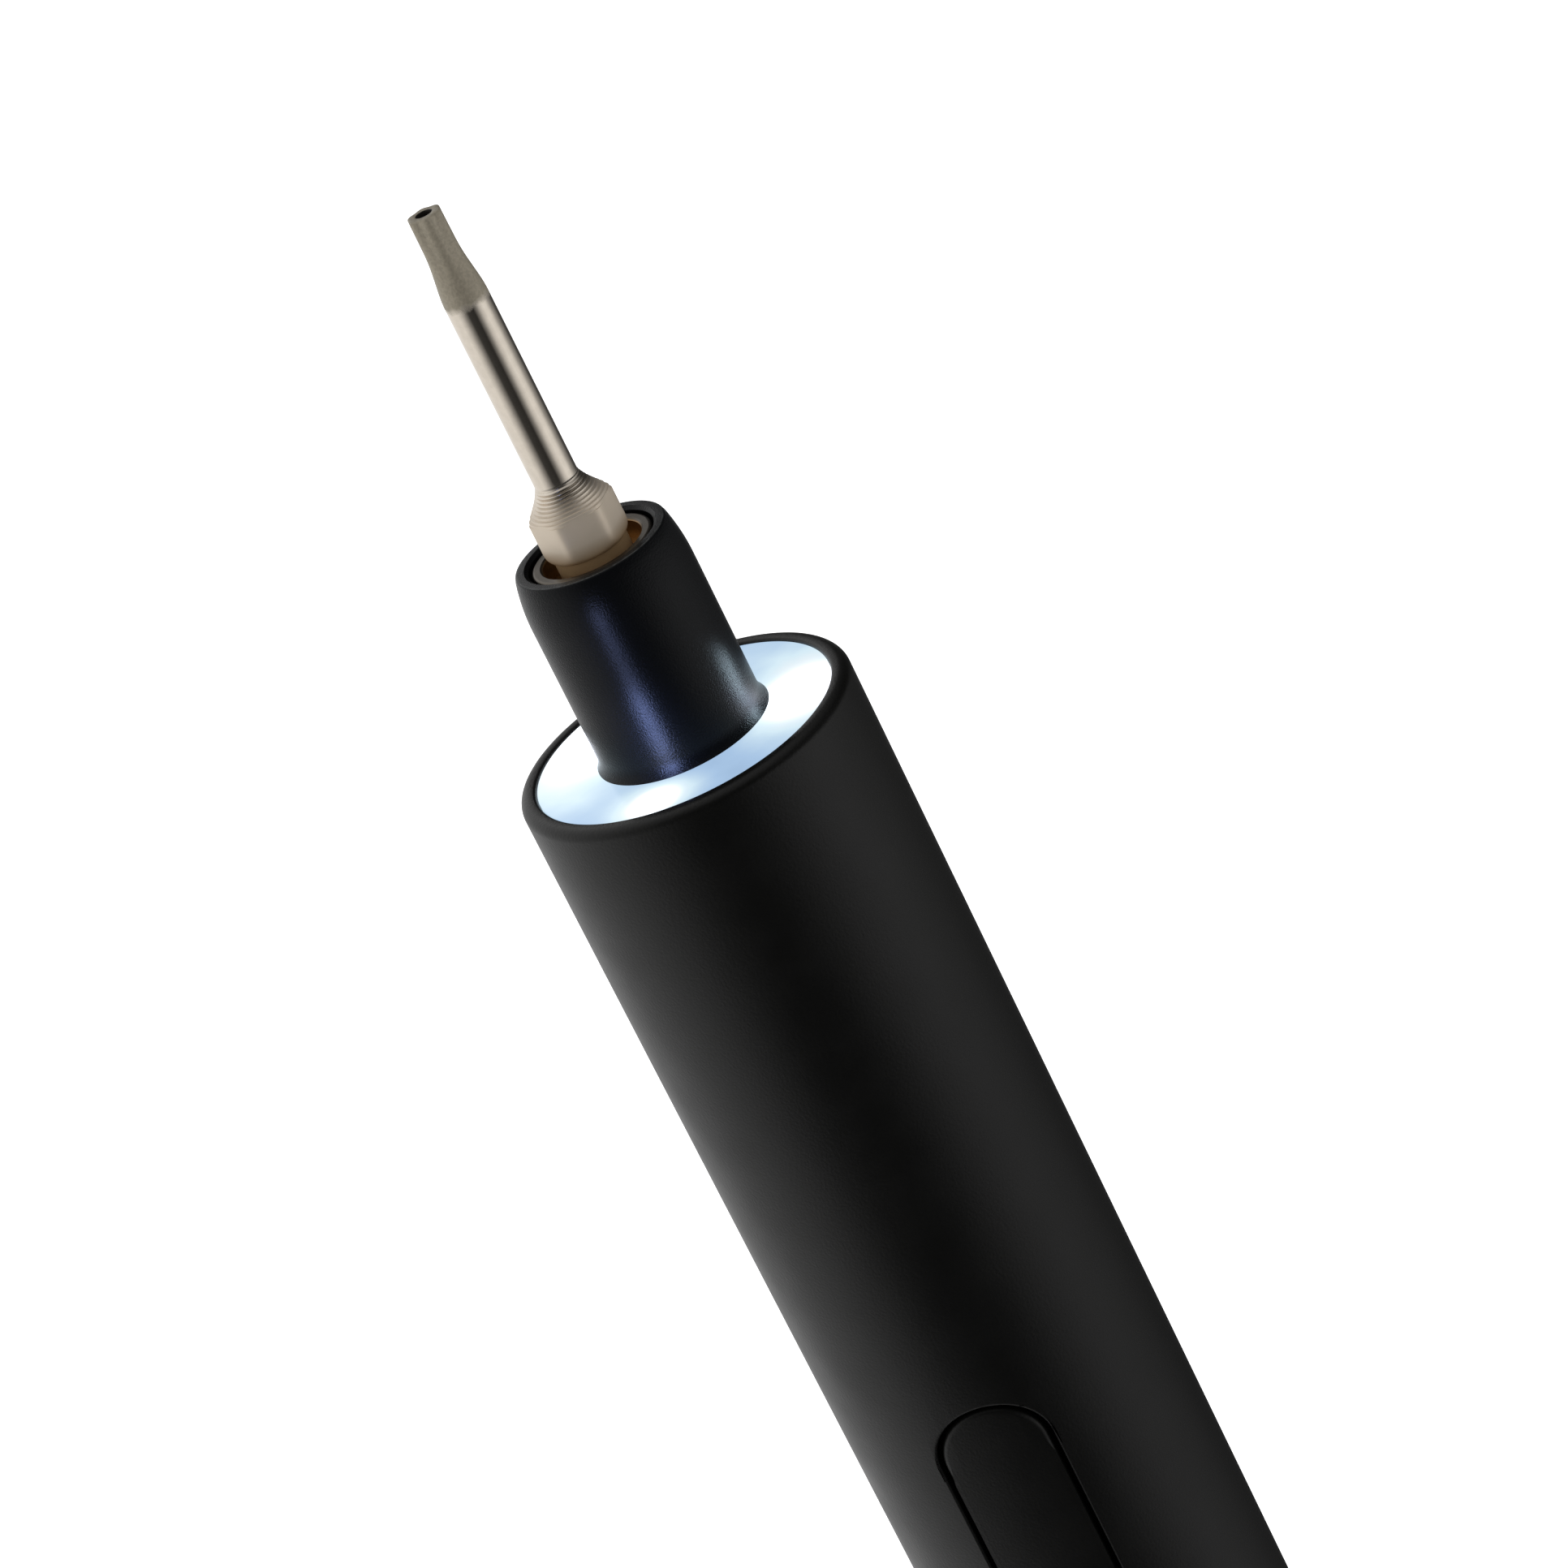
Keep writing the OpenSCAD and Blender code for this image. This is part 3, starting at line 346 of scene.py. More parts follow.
def plated(name, color, roughness):
    """Drawn or plated metal with a soft wandering sheen."""
    finish = Finish(name, color, roughness, metallic=1.0)
    cloud = vary(finish, color, per_mm=0.5, spread=0.07)
    finish.set("Roughness", finish.ramp(cloud, *WIDE, roughness * 0.8, roughness * 1.25))
    finish.bump(finish.noise(per_mm=5), depth_mm=0.004, strength=0.4)
    return finish.material


def circuit_green():
    """Solder mask over faint copper tracks."""
    mask, over_track = (0.012, 0.075, 0.03), (0.025, 0.13, 0.05)
    finish = Finish("circuit_green", mask, 0.32)
    track = finish.ramp(finish.noise(per_mm=0.9, detail=0.0, stretch=(3, 3, 0.6)), 0.52, 0.54)
    finish.set("Base Color", finish.blend(track, mask, over_track))
    finish.bump(track, depth_mm=0.02, strength=0.4)
    return finish.material


def wound_copper():
    """Enamelled wire laid in close slanting turns, with painted shade in the grooves between them."""
    ridge, groove, slant, turns_per_m = (0.55, 0.2, 0.07), (0.3, 0.09, 0.03), 0.5, 2400.0
    finish = Finish("wound_copper", ridge, 0.3, metallic=1.0)
    place = finish.add("ShaderNodeMapping", {"Vector": finish.coords, "Rotation": (slant, 0, 0)})
    wire = finish.add("ShaderNodeTexWave", {"Vector": place.outputs[0], "Scale": turns_per_m},
                      bands_direction="Z").outputs["Fac"]
    # Painted shade: the colour darkens in the grooves between turns
    finish.set("Base Color", finish.blend(wire, groove, ridge))
    finish.bump(wire, depth_mm=0.03, strength=0.6)
    return finish.material


# Light on the ring's face: a bright spot over each lamp and two faint ones between them. Each has its angle
# from +X in degrees, its distance from the axis and its reach in millimetres, and its gain
LAMP_SPOTS = ((-4, 6.3, 3.4, 1.0), (150, 5.0, 4.6, 0.95), (260, 6.6, 1.8, 0.95))
FAINT_SPOTS = ((205, 6.3, 3.5, 0.1), (45, 6.3, 3.5, 0.12))


def lit_diffuser():
    """Milky clear disc that glows: three bright spots over the lamps, bluer and dimmer between them."""
    unlit, core_blue = (0.012, 0.014, 0.016), (0.62, 0.72, 1.0)
    dim_to_white = ((0.0, (0.2, 0.32, 0.5)), (0.25, (0.42, 0.6, 0.84)), (0.5, (0.72, 0.9, 1.0)),
                    (1.0, (1.0, 1.0, 1.0)))
    dimmest, core_fall, core_gain, face_gain = 0.2, 6.0, 8.0, 0.92
    by_nose, by_rim, nose_share = 4.4, 6.3, 0.7
    finish = Finish("lit_diffuser", unlit, 0.25)
    x, y, _, radius = finish.axes()

    def spot(angle, distance, reach):
        """Bell of light: 1 in its middle."""
        off_x = finish.math("SUBTRACT", x, distance * MM * math.cos(math.radians(angle)))
        off_y = finish.math("SUBTRACT", y, distance * MM * math.sin(math.radians(angle)))
        square = finish.plus(finish.times(off_x, off_x), finish.times(off_y, off_y))
        return finish.math("EXPONENT", finish.math("DIVIDE", square, -(reach * MM) ** 2))

    glow, core = dimmest, 0.0
    for angle, distance, reach, gain in LAMP_SPOTS:
        light = spot(angle, distance, reach)
        glow = finish.plus(glow, finish.times(light, gain))
        core = finish.plus(core, finish.math("POWER", light, core_fall))
    for angle, distance, reach, gain in FAINT_SPOTS:
        glow = finish.plus(glow, finish.times(spot(angle, distance, reach), gain))
    streaks = finish.ramp(finish.noise(per_mm=0.5), *WIDE, 0.92, 1.08)
    towards_rim = finish.ramp(radius, by_nose * MM, by_rim * MM, nose_share, 1.0)
    tint = finish.color_ramp(finish.times(glow, streaks, towards_rim), dim_to_white)
    finish.set("Emission Color", finish.blend(finish.ramp(core, 0.0, 1.0), tint, core_blue))
    finish.set("Emission Strength", finish.plus(face_gain, finish.times(core, core_gain)))
    return finish.material


# The finish of each material slot that the record names
FINISHES = {
    "body_black": blasted_black(),
    "nose_black": nose_black(),
    "diffuser": lit_diffuser(),
    "lamp": moulded("lamp_phosphor", (0.85, 0.8, 0.35), 0.4),
    "lamp_board": moulded("lamp_board_white", (0.8, 0.8, 0.77), 0.4),
    "board_green": circuit_green(),
    "chip_black": moulded("chip_black", (0.02, 0.02, 0.022), 0.5),
    "flex_amber": moulded("flex_amber", (0.45, 0.16, 0.03), 0.3),
    "bronze": turned_steel("sintered_bronze", (0.5, 0.3, 0.14), 0.42, lines_per_mm=6, line_depth=0.01,
                           grain_depth=0.01),
    "moulding_grey": moulded("glass_filled_nylon", (0.045, 0.048, 0.052), 0.55),
    "gear_white": moulded("gear_acetal", (0.72, 0.69, 0.6), 0.35),
    "steel_machined": turned_steel("machined_steel", (0.42, 0.41, 0.39), 0.3, lines_per_mm=7,
                                   line_depth=0.006),
    "steel_plated": plated("plated_steel", (0.6, 0.59, 0.57), 0.22),
    "motor_steel": plated("motor_steel", (0.5, 0.5, 0.5), 0.3),
    "magnet_grey": plated("magnet_nickel", (0.3, 0.3, 0.31), 0.35),
    "motor_cap_green": moulded("motor_cap_green", (0.03, 0.14, 0.08), 0.45),
    "copper": wound_copper(),
    "pinion_brass": turned_steel("pinion_brass", (0.62, 0.44, 0.16), 0.28, lines_per_mm=8,
                                 line_depth=0.005),
    "lead_insulation": moulded("lead_insulation", (0.3, 0.02, 0.015), 0.5),
    "silicone_grey": moulded("silicone_grey", (0.22, 0.23, 0.24), 0.6),
    "cell_wrap": moulded("cell_wrap", (0.02, 0.11, 0.3), 0.3),
    "cell_ring": moulded("cell_ring_card", (0.7, 0.68, 0.6), 0.7),
    "nickel_strip": plated("nickel_strip", (0.6, 0.59, 0.56), 0.28),
    "usb_steel": plated("socket_steel", (0.5, 0.5, 0.5), 0.28),
    "usb_black": moulded("socket_black", (0.015, 0.015, 0.016), 0.4),
    "spindle_steel": spindle_finish(),
    "bit_steel": bit_finish(),
}


def dress_cad_nodes():
    """Gives every CAD node the finish that its record slot names."""
    for part in frame["record"]["subparts"]:
        mesh = frame["nodes"][part["node"]].data
        mesh.materials.clear()
        mesh.materials.append(FINISHES[part["material_slot"]])


dress_cad_nodes()


# ---------- modelling steps ----------

# How far a corner may lie from a surface and still count as being on it, in millimetres
ON_SURFACE = 0.02


def arc(center, radius, start, end, steps):
    """Points of a round stretch of an outline, from one angle to another in degrees."""
    turns = [math.radians(start + (end - start) * k / steps) for k in range(steps + 1)]
    return [(center[0] + radius * math.cos(a), center[1] + radius * math.sin(a)) for a in turns]


def spun(outline, steps=192, closed=True):
    """Shape turned round the tool's axis from an outline of (radius, height) points in millimetres."""
    bm = bmesh.new()
    verts = [bm.verts.new(Vector((r, 0, z)) * MM) for r, z in outline]
    pairs = list(zip(verts, verts[1:])) + ([(verts[-1], verts[0])] if closed else [])
    edges = [bm.edges.new(pair) for pair in pairs]
    bmesh.ops.spin(bm, geom=verts + edges, cent=(0, 0, 0), axis=(0, 0, 1), angle=2 * math.pi, steps=steps,
                   use_merge=True)
    bmesh.ops.remove_doubles(bm, verts=bm.verts, dist=0.0005 * MM)
    bmesh.ops.recalc_face_normals(bm, faces=bm.faces)
    return bm


def pill_block(width, length, y_in, segments=64):
    """Upright cutter with round ends at the button's place, from outside the tube in to a depth along Y."""
    clear_of_tube = 1
    y_out = -body_r - clear_of_tube
    bm = bmesh.new()
    made = bmesh.ops.create_circle(bm, cap_ends=True, segments=segments, radius=width / 2 * MM)
    half_step = Matrix.Rotation(math.pi / segments, 4, "Z")
    bmesh.ops.transform(bm, matrix=Matrix.Rotation(math.pi / 2, 4, "X") @ half_step, verts=made["verts"])
    for end in (-1, 1):
        cap = [v for v in made["verts"] if v.co.z * end > 0]
        bmesh.ops.translate(bm, vec=(0, 0, end * (length - width) / 2 * MM), verts=cap)
    bmesh.ops.translate(bm, vec=(0, y_out * MM, button_mid * MM), verts=bm.verts)
    top = bmesh.ops.extrude_face_region(bm, geom=list(bm.faces))
    moved = [v for v in top["geom"] if isinstance(v, bmesh.types.BMVert)]
    bmesh.ops.translate(bm, vec=(0, (y_in - y_out) * MM, 0), verts=moved)
    bmesh.ops.recalc_face_normals(bm, faces=bm.faces)
    return bm


def as_object(name, bm):
    """Puts a shape into the scene as an object at the origin; the bmesh is used up."""
    mesh = bpy.data.meshes.new(name)
    bm.to_mesh(mesh)
    bm.free()
    piece = bpy.data.objects.new(name, mesh)
    bpy.context.scene.collection.objects.link(piece)
    return piece


def carve(blank, tool, operation):
    """What is left of a blank after a tool has cut it; both are used up."""
    body, cutter = as_object("blank", blank), as_object("tool", tool)
    step = body.modifiers.new("cut", "BOOLEAN")
    step.operation = operation
    step.object = cutter
    step.solver = "EXACT"
    done = body.evaluated_get(bpy.context.evaluated_depsgraph_get())
    bm = bmesh.new()
    bm.from_mesh(done.to_mesh())
    done.to_mesh_clear()
    for used in (body, cutter):
        mesh = used.data
        bpy.data.objects.remove(used)
        bpy.data.meshes.remove(mesh)
    return bm


def break_edges(bm, width, keep, segments):
    """Rounds the sharp edges that keep() picks."""
    sharp_angle = math.radians(48)
    sharp = [e for e in bm.edges
             if len(e.link_faces) == 2 and e.calc_face_angle(0) > sharp_angle and keep(e)]
    bmesh.ops.bevel(bm, geom=sharp, offset=width * MM, offset_type="OFFSET", segments=segments, profile=0.5,
                    affect="EDGES", clamp_overlap=False, material=-1)


def finished(name, bm, slot, body, stands_for):
    """Makes a smooth-shaded piece that rides on a body in the place of a CAD node."""
    piece = as_object(name, bm)
    mesh = piece.data
    mesh.shade_smooth()
    mesh.set_sharp_from_angle(angle=math.radians(32))
    mesh.materials.append(FINISHES[slot])
    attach(piece, body)
    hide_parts(stands_for)


# ---------- body and button ----------

def body_shell():
    """Slim round tube with a rounded front rim, a lip round the light ring and the button's slot."""
    rim_round, lip_round, lip_l, foot_break, slot_break = 0.55, 0.15, 0.8, 0.04, 0.2
    past_wall = 2

    def on_slot_rim(edge):
        """True for the edges where the button's slot meets the outside of the tube."""
        return all(math.hypot(v.co.x, v.co.y) > (body_r - ON_SURFACE) * MM and v.co.y < 0
                   and button[0].z - MM < v.co.z < button[1].z + MM for v in edge.verts)

    levels = [body_foot + foot_break] + [button_mid + step for step in range(-18, 19, 3)]
    levels += [rim - 12, rim - 4]
    outline = [(bore_r, body_foot), (body_r - foot_break, body_foot)] + [(body_r, z) for z in levels]
    outline += arc((body_r - rim_round, rim - rim_round), rim_round, 0, 90, 10)
    outline += arc((lip_r + lip_round, rim - lip_round), lip_round, 90, 180, 4)
    outline += [(lip_r, rim - lip_l), (bore_r, rim - lip_l)] + [(bore_r, z) for z in reversed(levels[:-1])]
    bm = carve(spun(outline, 256), pill_block(slot_w, slot_l, past_wall - bore_r), "DIFFERENCE")
    break_edges(bm, slot_break, on_slot_rim, segments=5)
    finished("body_shell", bm, "body_black", "housing", "body_tube")


def button_wall(outer_r, shift=0.0):
    """Blank for the button: a wall from its inner face out to a radius round an axis shifted along Y."""
    spare, rows = 2, 10
    half = button_l / 2 + spare
    levels = [button_mid - half + 2 * half * k / rows for k in range(rows + 1)]
    bm = spun([(outer_r, z) for z in levels] + [(sole_r + shift, z) for z in reversed(levels)], 256)
    bmesh.ops.translate(bm, vec=Vector((0, shift * MM, 0)), verts=bm.verts)
    return bm


def button_cover():
    """Long rocker with rounded edges and a flatter crown than the tube's, over a flange that keeps it in."""
    crown_r, crown_top, edge_round = 14.0, 8.62, 0.26
    flange_r, flange_w = 7.5, 0.8
    inside_y = -4
    crown_y = crown_r - crown_top

    def on_crown(edge):
        """True for the edges round the crown."""
        return all(math.hypot(v.co.x, v.co.y - crown_y * MM) > (crown_r - ON_SURFACE) * MM
                   for v in edge.verts)

    cap = carve(button_wall(crown_r, crown_y), pill_block(button_w, button_l, inside_y, 96), "INTERSECT")
    break_edges(cap, edge_round, on_crown, segments=5)
    finished("button_cover", cap, "body_black", "button", "button")
    flange_block = pill_block(slot_w + 2 * flange_w, slot_l + 2 * flange_w, inside_y)
    flange = carve(button_wall(flange_r), flange_block, "INTERSECT")
    finished("button_flange", flange, "body_black", "button", "button")


def button_underside():
    """Two round feet that press the domes, and between them a lug bored for the pivot pin."""
    press_arm, foot_r, foot_end, foot_root = 8.2, 0.9, 4.6, 0.1
    pivot_y, pin_r, lug_drop, lug_w, lug_l, lug_root, lug_break = -4.4, 0.54, 0.9, 5.2, 2.2, 0.25, 0.12
    short_edge = 1.5
    foot_top = sole_r + foot_root
    for index, end in enumerate((-1, 1)):
        outline = [(0, foot_end), (foot_r, foot_end), (foot_r, foot_top), (0, foot_top)]
        foot = spun(outline, 32, closed=False)
        place = Matrix.Translation(Vector((0, 0, button_mid + end * press_arm)) * MM)
        bmesh.ops.transform(foot, matrix=place @ Matrix.Rotation(math.pi / 2, 4, "X"), verts=foot.verts)
        finished("button_foot_%d" % (index + 1), foot, "body_black", "button", "button")
    outer_y, inner_y = -sole_r - lug_root, pivot_y + lug_drop
    place = Matrix.Translation(Vector((0, (outer_y + inner_y) / 2, button_mid)) * MM)
    size = Matrix.Diagonal((lug_w * MM, (inner_y - outer_y) * MM, lug_l * MM, 1))
    block = bmesh.new()
    bmesh.ops.create_cube(block, size=1, matrix=place @ size)
    pin_place = Matrix.Translation(Vector((0, pivot_y, button_mid)) * MM)
    drill = bmesh.new()
    bmesh.ops.create_cone(drill, cap_ends=True, segments=48, radius1=pin_r * MM, radius2=pin_r * MM,
                          depth=2 * lug_w * MM, matrix=pin_place @ Matrix.Rotation(math.pi / 2, 4, "Y"))
    lug = carve(block, drill, "DIFFERENCE")
    break_edges(lug, lug_break, lambda e: e.calc_length() > short_edge * MM, segments=2)
    finished("button_lug", lug, "body_black", "button", "button")


# ---------- nose and light ring ----------

def nose_tube():
    """Sleeve with a gently rounded taper, a thin front lip, a flared foot on the ring and a spigot."""
    front_r, taper, spigot_r, bush_r, mouth_r = 3.95, 2.7, 4.1, 3.74, 3.3
    flare, flare_l, flare_bend, lip, edge, mouth_break = 0.26, 0.8, 2.2, 1.4, 0.12, 0.17
    taper_foot = nose_top - taper
    outline = [(bush_r, nose_foot), (spigot_r, nose_foot), (spigot_r, ring_face)]
    outline += [(nose_r + flare * (1 - k / 8) ** flare_bend, ring_face + flare_l * k / 8) for k in range(9)]
    outline += [(nose_r - (nose_r - front_r) * (k / 10) ** 2, taper_foot + taper * k / 10)
                for k in range(10)]
    outline += arc((front_r - edge, nose_top - edge), edge, 8, 90, 5)
    outline += [(mouth_r + mouth_break, nose_top), (mouth_r, nose_top - mouth_break)]
    outline += [(mouth_r, nose_top - lip), (bush_r, nose_top - lip)]
    finished("nose_tube", spun(outline), "nose_black", "housing", "nose_sleeve")


def glow_ring():
    """Clear disc whose skirt stands over the lamps, with its face just under the rim."""
    hole_r, boss_r, skirt, disc_t, boss_t, edge = 4.13, 7.82, 0.7, 1.9, 0.85, 0.05
    back = ring_face - disc_t
    outline = [(hole_r, ring_face), (hole_r, back), (seat_r - skirt, back), (seat_r - skirt, ring_foot),
               (seat_r, ring_foot), (seat_r, ring_face - boss_t), (boss_r, ring_face - boss_t)]
    outline += arc((boss_r - edge, ring_face - edge), edge, 0, 90, 3)
    finished("glow_ring", spun(outline), "diffuser", "housing", "light_ring")


# ---------- bit ----------

def polar(vert):
    """Distance from the tool's axis in millimetres, and angle round it."""
    return math.hypot(vert.co.x, vert.co.y) / MM, math.atan2(vert.co.y, vert.co.x)


def press(vert, scale):
    """Moves a corner straight towards the axis."""
    vert.co.x *= scale
    vert.co.y *= scale


def press_lobes(bm, hole_r):
    """Presses six grooves into the tip, deeper towards its end; the hole in it stays round."""
    start, groove, hole_wall = 0.4, 0.12, 0.1
    for vert in bm.verts:
        radius, angle = polar(vert)
        along = (vert.co.z / MM - bit_tip_foot - start) / (bit_tip_l - start)
        if radius > hole_r + hole_wall and along > 0:
            lobe = 0.5 - 0.5 * math.cos(6 * (angle - math.radians(hex_turn)))
            press(vert, 1 - groove * along * (1 - lobe))


def press_hexagon(bm, across, bluntness=16, blend=36):
    """Presses a turned blank to a hexagon with blunt corners; whatever is slimmer than that stays round."""
    for vert in bm.verts:
        radius, angle = polar(vert)
        if radius < across / 3:
            continue
        angle -= math.radians(hex_turn + 30)
        flats = sum(max(0, math.cos(angle - math.radians(60 * k))) ** bluntness for k in range(6))
        reach = across / 2 / flats ** (1 / bluntness)
        press(vert, (radius ** -blend + reach ** -blend) ** (-1 / blend) / radius)


def ridged_bit():
    """Slender bit: hexagon, hollow in fine turned ridges, polished shaft, six-lobed tip with its hole."""
    across, shaft_r, shaft_l = 4.0, 1.125, 9.75
    corner_r = across / math.sqrt(3) - 0.02
    neck_r, foot_break, collar_round, collar_top = 1.9, 0.3, 0.75, 0.9
    hollow, ridges, ridge_steps, ridge_h = 1.75, 11, 6, 0.08
    tip_r, tip_root, crown, hole_r, hole_l, drill_point, hole_break = 0.9, 2.9, 0.1, 0.4, 1.6, 0.2, 0.05
    outline = [(0, bit_foot), (corner_r - foot_break, bit_foot), (corner_r, bit_foot + foot_break)]
    outline += [(corner_r, bit_seat_top), (neck_r, bit_neck_foot), (neck_r, bit_collar_low)]
    outline += arc((corner_r - collar_round, bit_collar_low + collar_round), collar_round, -60, 0, 8)
    outline += [(corner_r, bit_hex_top - collar_top + collar_top / 10 * k) for k in range(10)]

    # The hollow narrows as the power 1.5 of the way left to the shaft, its ridges stand square to that curve,
    # and the last of them fade out
    count = ridges * ridge_steps
    for k in range(count + 1):
        up = k / count
        slope = math.atan2(hollow, 1.5 * (corner_r - shaft_r) * math.sqrt(1 - up))
        height = ridge_h * (0.5 - 0.5 * math.cos(2 * math.pi * k / ridge_steps)) * min(1, 4 * (1 - up))
        outline.append((shaft_r + (corner_r - shaft_r) * (1 - up) ** 1.5 - height * math.sin(slope),
                        bit_hex_top + hollow * up - height * math.cos(slope)))

    outline += [(shaft_r, bit_hex_top + hollow + shaft_l * k / 4) for k in range(1, 4)]
    ease = [(1 - math.cos(math.pi * k / 12)) / 2 for k in range(13)]
    outline += [(shaft_r - (shaft_r - tip_r) * ease[k], bit_tip_foot + tip_root * k / 12)
                for k in range(13)]
    tip_straight = bit_tip_l - tip_root - crown
    outline += [(tip_r, bit_tip_foot + tip_root + tip_straight * k / 6) for k in range(1, 7)]
    outline += arc((tip_r - crown, bit_top - crown), crown, 20, 90, 4)
    outline += arc((hole_r + hole_break, bit_top - hole_break), hole_break, 90, 180, 2)
    outline += [(hole_r, bit_top - hole_l / 2), (hole_r, bit_top - hole_l)]
    outline += [(0, bit_top - hole_l - drill_point)]
    bm = spun(outline, 144, closed=False)
    press_lobes(bm, hole_r)
    press_hexagon(bm, across)
    bmesh.ops.recalc_face_normals(bm, faces=bm.faces)
    finished("ridged_bit", bm, "bit_steel", "bit", "driver_bit")


body_shell()
button_cover()
button_underside()
nose_tube()
glow_ring()
ridged_bit()


# ---------- studio ----------

# The tool's front, as an angle in degrees from +X, and how bright the studio looks in gloss at angles to both
# sides of it: the floor, the floor close to the tool and the walls
FRONT = 284.6
FLOOR_LEVELS = ((-180, 1.0), (-78, 0.95), (-59, 0.68), (-41, 0.3), (-24, 0.05), (8, 0.03), (24, 0.26),
                (41, 0.72), (59, 0.98), (78, 0.9), (100, 0.4), (131, 0.08), (160, 0.05), (176, 0.8),
                (180, 1.0))
NEAR_LEVELS = ((-180, 1.0), (-78, 0.95), (-59, 0.68), (-41, 0.3), (-24, 0.05), (8, 0.02), (24, 0.06),
               (41, 0.32), (59, 0.55), (78, 0.58), (100, 0.3), (131, 0.05), (160, 0.04), (176, 0.8),
               (180, 1.0))
WALL_LEVELS = ((-180, 1.0), (-100, 0.95), (-62, 0.45), (-32, 0.02), (30, 0.02), (60, 0.07), (90, 0.06),
               (120, 0.02), (180, 0.03))

# Metres from the middle of the tool's foot up to which the floor counts as close, and from which as far
NEAR_END = (0.23, 0.3)


def bright_sides(tree, place, levels):
    """How bright the studio looks in gloss in each direction, from a table of angles and levels."""
    turn = tree.add("ShaderNodeVectorRotate", {"Vector": place, "Angle": -math.radians(FRONT)},
                    rotation_type="Z_AXIS")
    x, y, _ = tree.add("ShaderNodeSeparateXYZ", {"Vector": turn.outputs[0]}).outputs
    share = tree.ramp(tree.math("ARCTAN2", y, x), -math.pi, math.pi)
    return tree.color_ramp(share, [((degrees + 180) / 360, (level,) * 3) for degrees, level in levels])


def kinds_of_ray(tree):
    """1 for what is seen straight or through something clear, and 1 for what is mirrored in gloss."""
    path = tree.add("ShaderNodeLightPath").outputs
    return tree.math("MAXIMUM", path["Is Camera Ray"], path["Is Transmission Ray"]), path["Is Glossy Ray"]


def studio_floor():
    """Pale floor that shows white, is mirrored as a dark front and white sides, and keeps some shadow."""
    floor_r, drop, white_glow = 8, 0.02, 0.9
    bm = bmesh.new()
    bmesh.ops.create_circle(bm, cap_ends=True, segments=96, radius=floor_r)
    bmesh.ops.translate(bm, vec=Vector((0, 0, -drop * MM)), verts=bm.verts)
    floor = as_object("floor", bm)
    finish = Finish("studio_white", (0.8, 0.8, 0.8), 0.9, specular=0.0)
    seen, mirrored = kinds_of_ray(finish)
    distance = finish.add("ShaderNodeVectorMath", {0: finish.coords}, operation="LENGTH").outputs["Value"]
    sides = finish.mix(finish.ramp(distance, *NEAR_END), bright_sides(finish, finish.coords, NEAR_LEVELS),
                       bright_sides(finish, finish.coords, FLOOR_LEVELS))
    level = finish.plus(finish.times(seen, white_glow), finish.times(mirrored, sides))
    glow = finish.add("ShaderNodeEmission", {"Color": (1, 1, 1, 1), "Strength": level})
    shaded = finish.add("ShaderNodeMixShader", {0: finish.math("SUBTRACT", 1.0, mirrored),
                                                2: finish.shader.outputs[0]})
    lit = finish.add("ShaderNodeAddShader", {0: shaded.outputs[0], 1: glow.outputs[0]})

    # Clear from beneath, so that it never hides the tool
    beneath = finish.add("ShaderNodeNewGeometry").outputs["Backfacing"]
    clear = finish.add("ShaderNodeBsdfTransparent")
    surface = finish.add("ShaderNodeMixShader", {0: beneath, 1: lit.outputs[0], 2: clear.outputs[0]})
    finish.feed(finish.tree.nodes["Material Output"].inputs["Surface"], surface.outputs[0])
    floor.data.materials.append(finish.material)


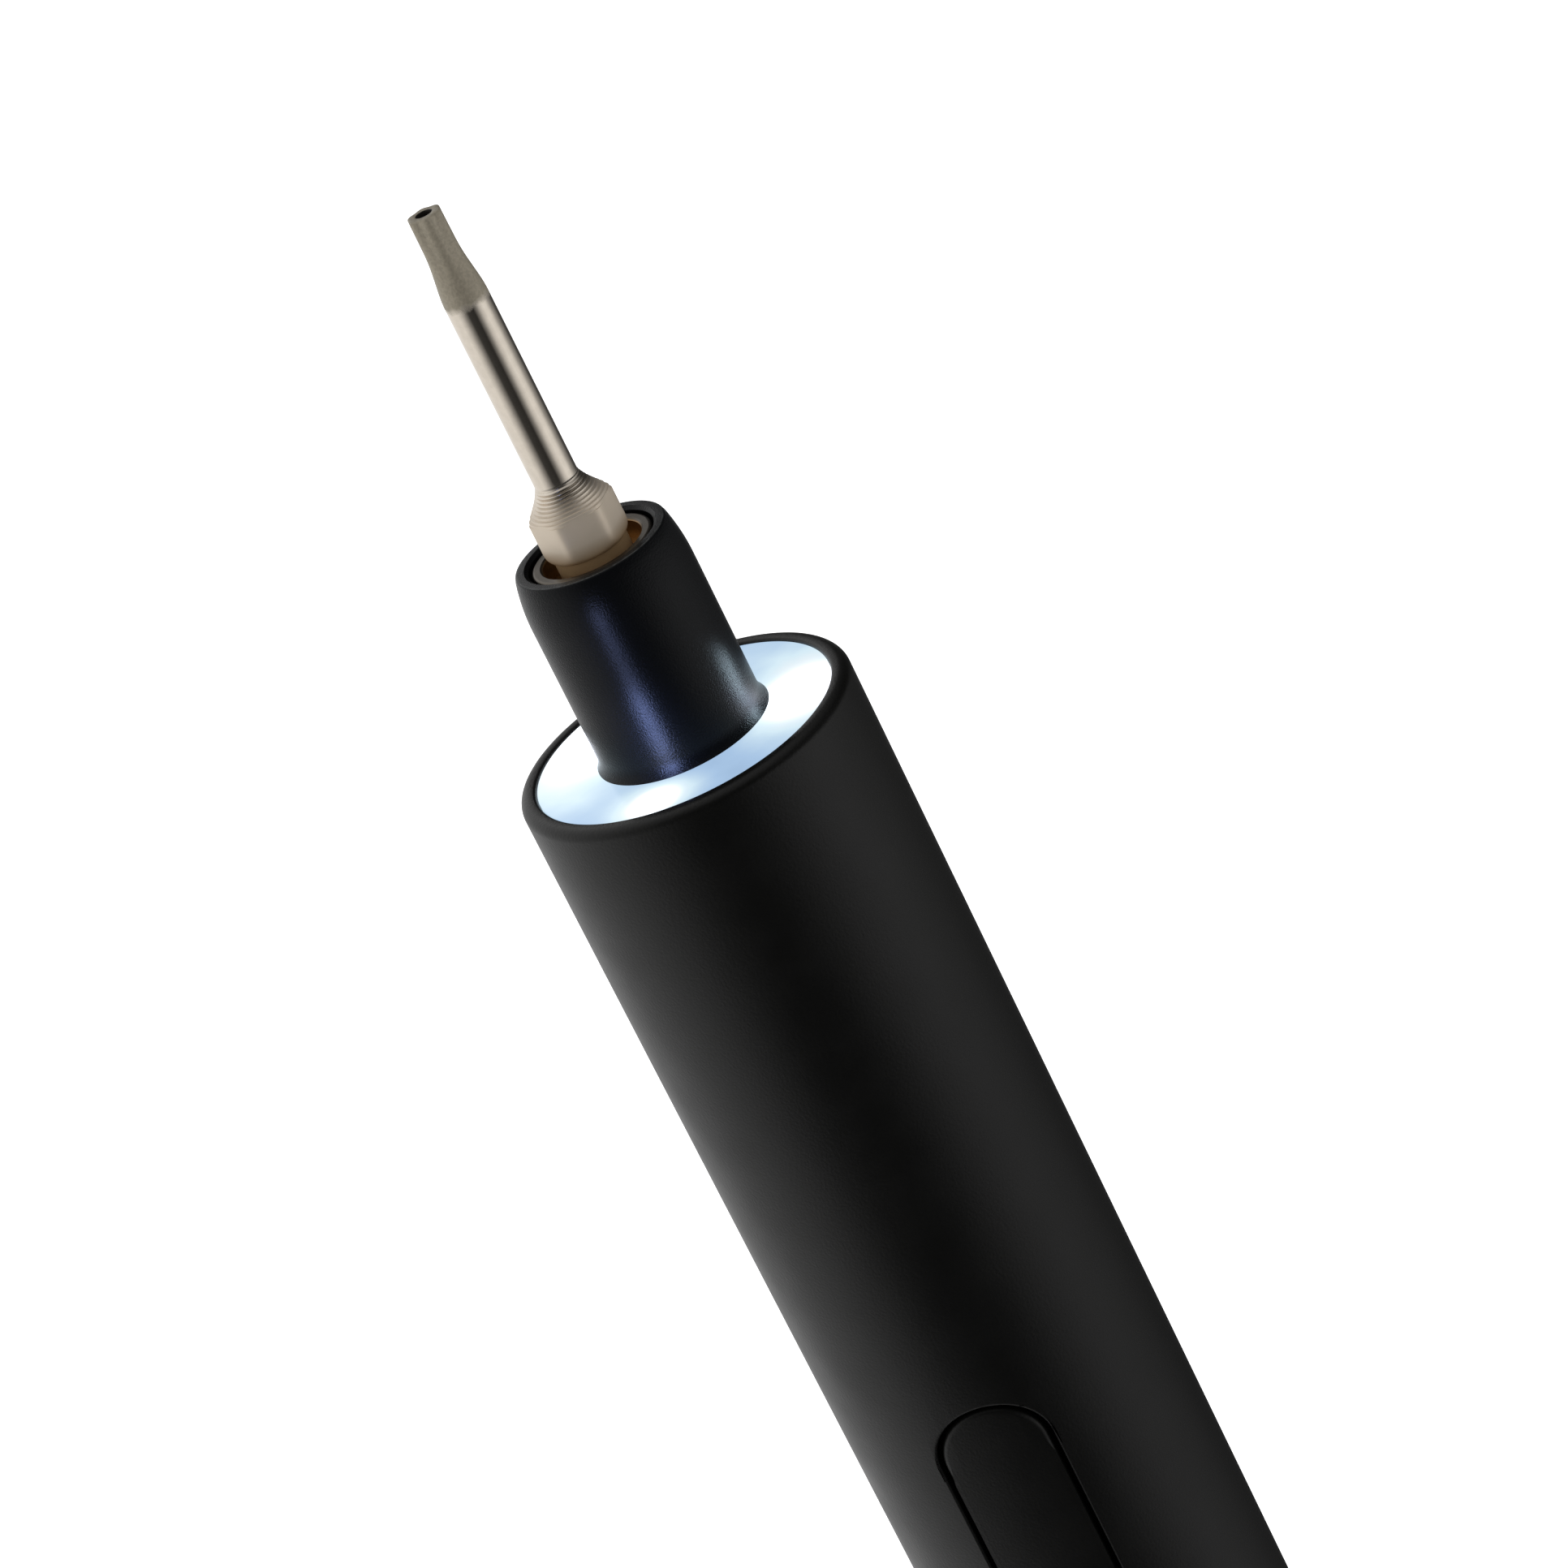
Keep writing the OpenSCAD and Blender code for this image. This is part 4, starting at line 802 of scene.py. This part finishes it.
def studio_world():
    """White to the camera, one plain level to matte surfaces, a white side and a grey ceiling in gloss."""
    plain_level, ceiling_level, ceiling_from, ceiling_to = 0.55, 0.55, 0.55, 0.95
    world = bpy.data.worlds.new("studio")
    bpy.context.scene.world = world
    world.use_nodes = True
    tree = Nodes(world.node_tree)
    seen, mirrored = kinds_of_ray(tree)
    direction = tree.add("ShaderNodeTexCoord").outputs["Generated"]
    height = tree.add("ShaderNodeSeparateXYZ", {"Vector": direction}).outputs[2]
    ceiling = tree.ramp(height, ceiling_from, ceiling_to, 0.0, ceiling_level)
    sides = tree.math("MAXIMUM", bright_sides(tree, direction, WALL_LEVELS), ceiling)
    level = tree.math("MAXIMUM", seen, tree.mix(mirrored, plain_level, sides))
    background = world.node_tree.nodes["Background"]
    tree.feed(background.inputs["Color"], (1, 1, 1, 1))
    tree.feed(background.inputs["Strength"], level)


def area_lamp(name, place, away, width, height, power, color):
    """Rectangular lamp at a place in metres that shines against the direction away."""
    data = bpy.data.lights.new(name, "AREA")
    data.shape = "RECTANGLE"
    data.size, data.size_y = width, height
    data.energy = power
    data.color = color
    lamp = bpy.data.objects.new(name, data)
    bpy.context.scene.collection.objects.link(lamp)
    lamp.location = place
    lamp.rotation_mode = "QUATERNION"
    lamp.rotation_quaternion = away.to_track_quat("Z", "Y")
    lamp.visible_camera = False
    return lamp


def softbox(name, azimuth, elevation, distance, width, height, power):
    """White lamp aimed just behind the tool's rim; azimuth 0 is the side that the button faces."""
    behind_rim = 20
    a, e = math.radians(azimuth), math.radians(elevation)
    target = Vector((0, 0, rim - behind_rim)) * MM
    away = Vector((math.sin(a) * math.cos(e), -math.cos(a) * math.cos(e), math.sin(e)))
    lamp = area_lamp(name, target + away * distance, away, width, height, power, (1, 1, 1))
    lamp.visible_glossy = False


def ring_strip(name, angle, width, height, power, color):
    """Narrow upright lamp over a bright spot of the ring, which carries that spot's light up the nose."""
    off_axis, above_ring, spread = 7.0, 0.1, 100
    away = Vector((math.cos(math.radians(angle)), math.sin(math.radians(angle)), 0))
    place = (away * off_axis + Vector((0, 0, ring_face + above_ring + height / 2))) * MM
    lamp = area_lamp(name, place, away, width * MM, height * MM, power, color)
    lamp.data.spread = math.radians(spread)


studio_floor()
studio_world()
softbox("left_softbox", azimuth=-62, elevation=10, distance=0.7, width=0.35, height=0.9, power=3.0)
softbox("right_softbox", azimuth=95, elevation=10, distance=0.7, width=0.3, height=0.8, power=2.0)
ring_strip("front_strip", angle=263, width=0.9, height=9.0, power=1.0e-4, color=(0.4, 0.5, 1.0))
ring_strip("front_low_strip", angle=261, width=1.4, height=3.6, power=1.6e-4, color=(0.34, 0.46, 1.0))
ring_strip("right_strip", angle=356, width=0.9, height=2.6, power=1.3e-4, color=(0.66, 0.86, 1.0))
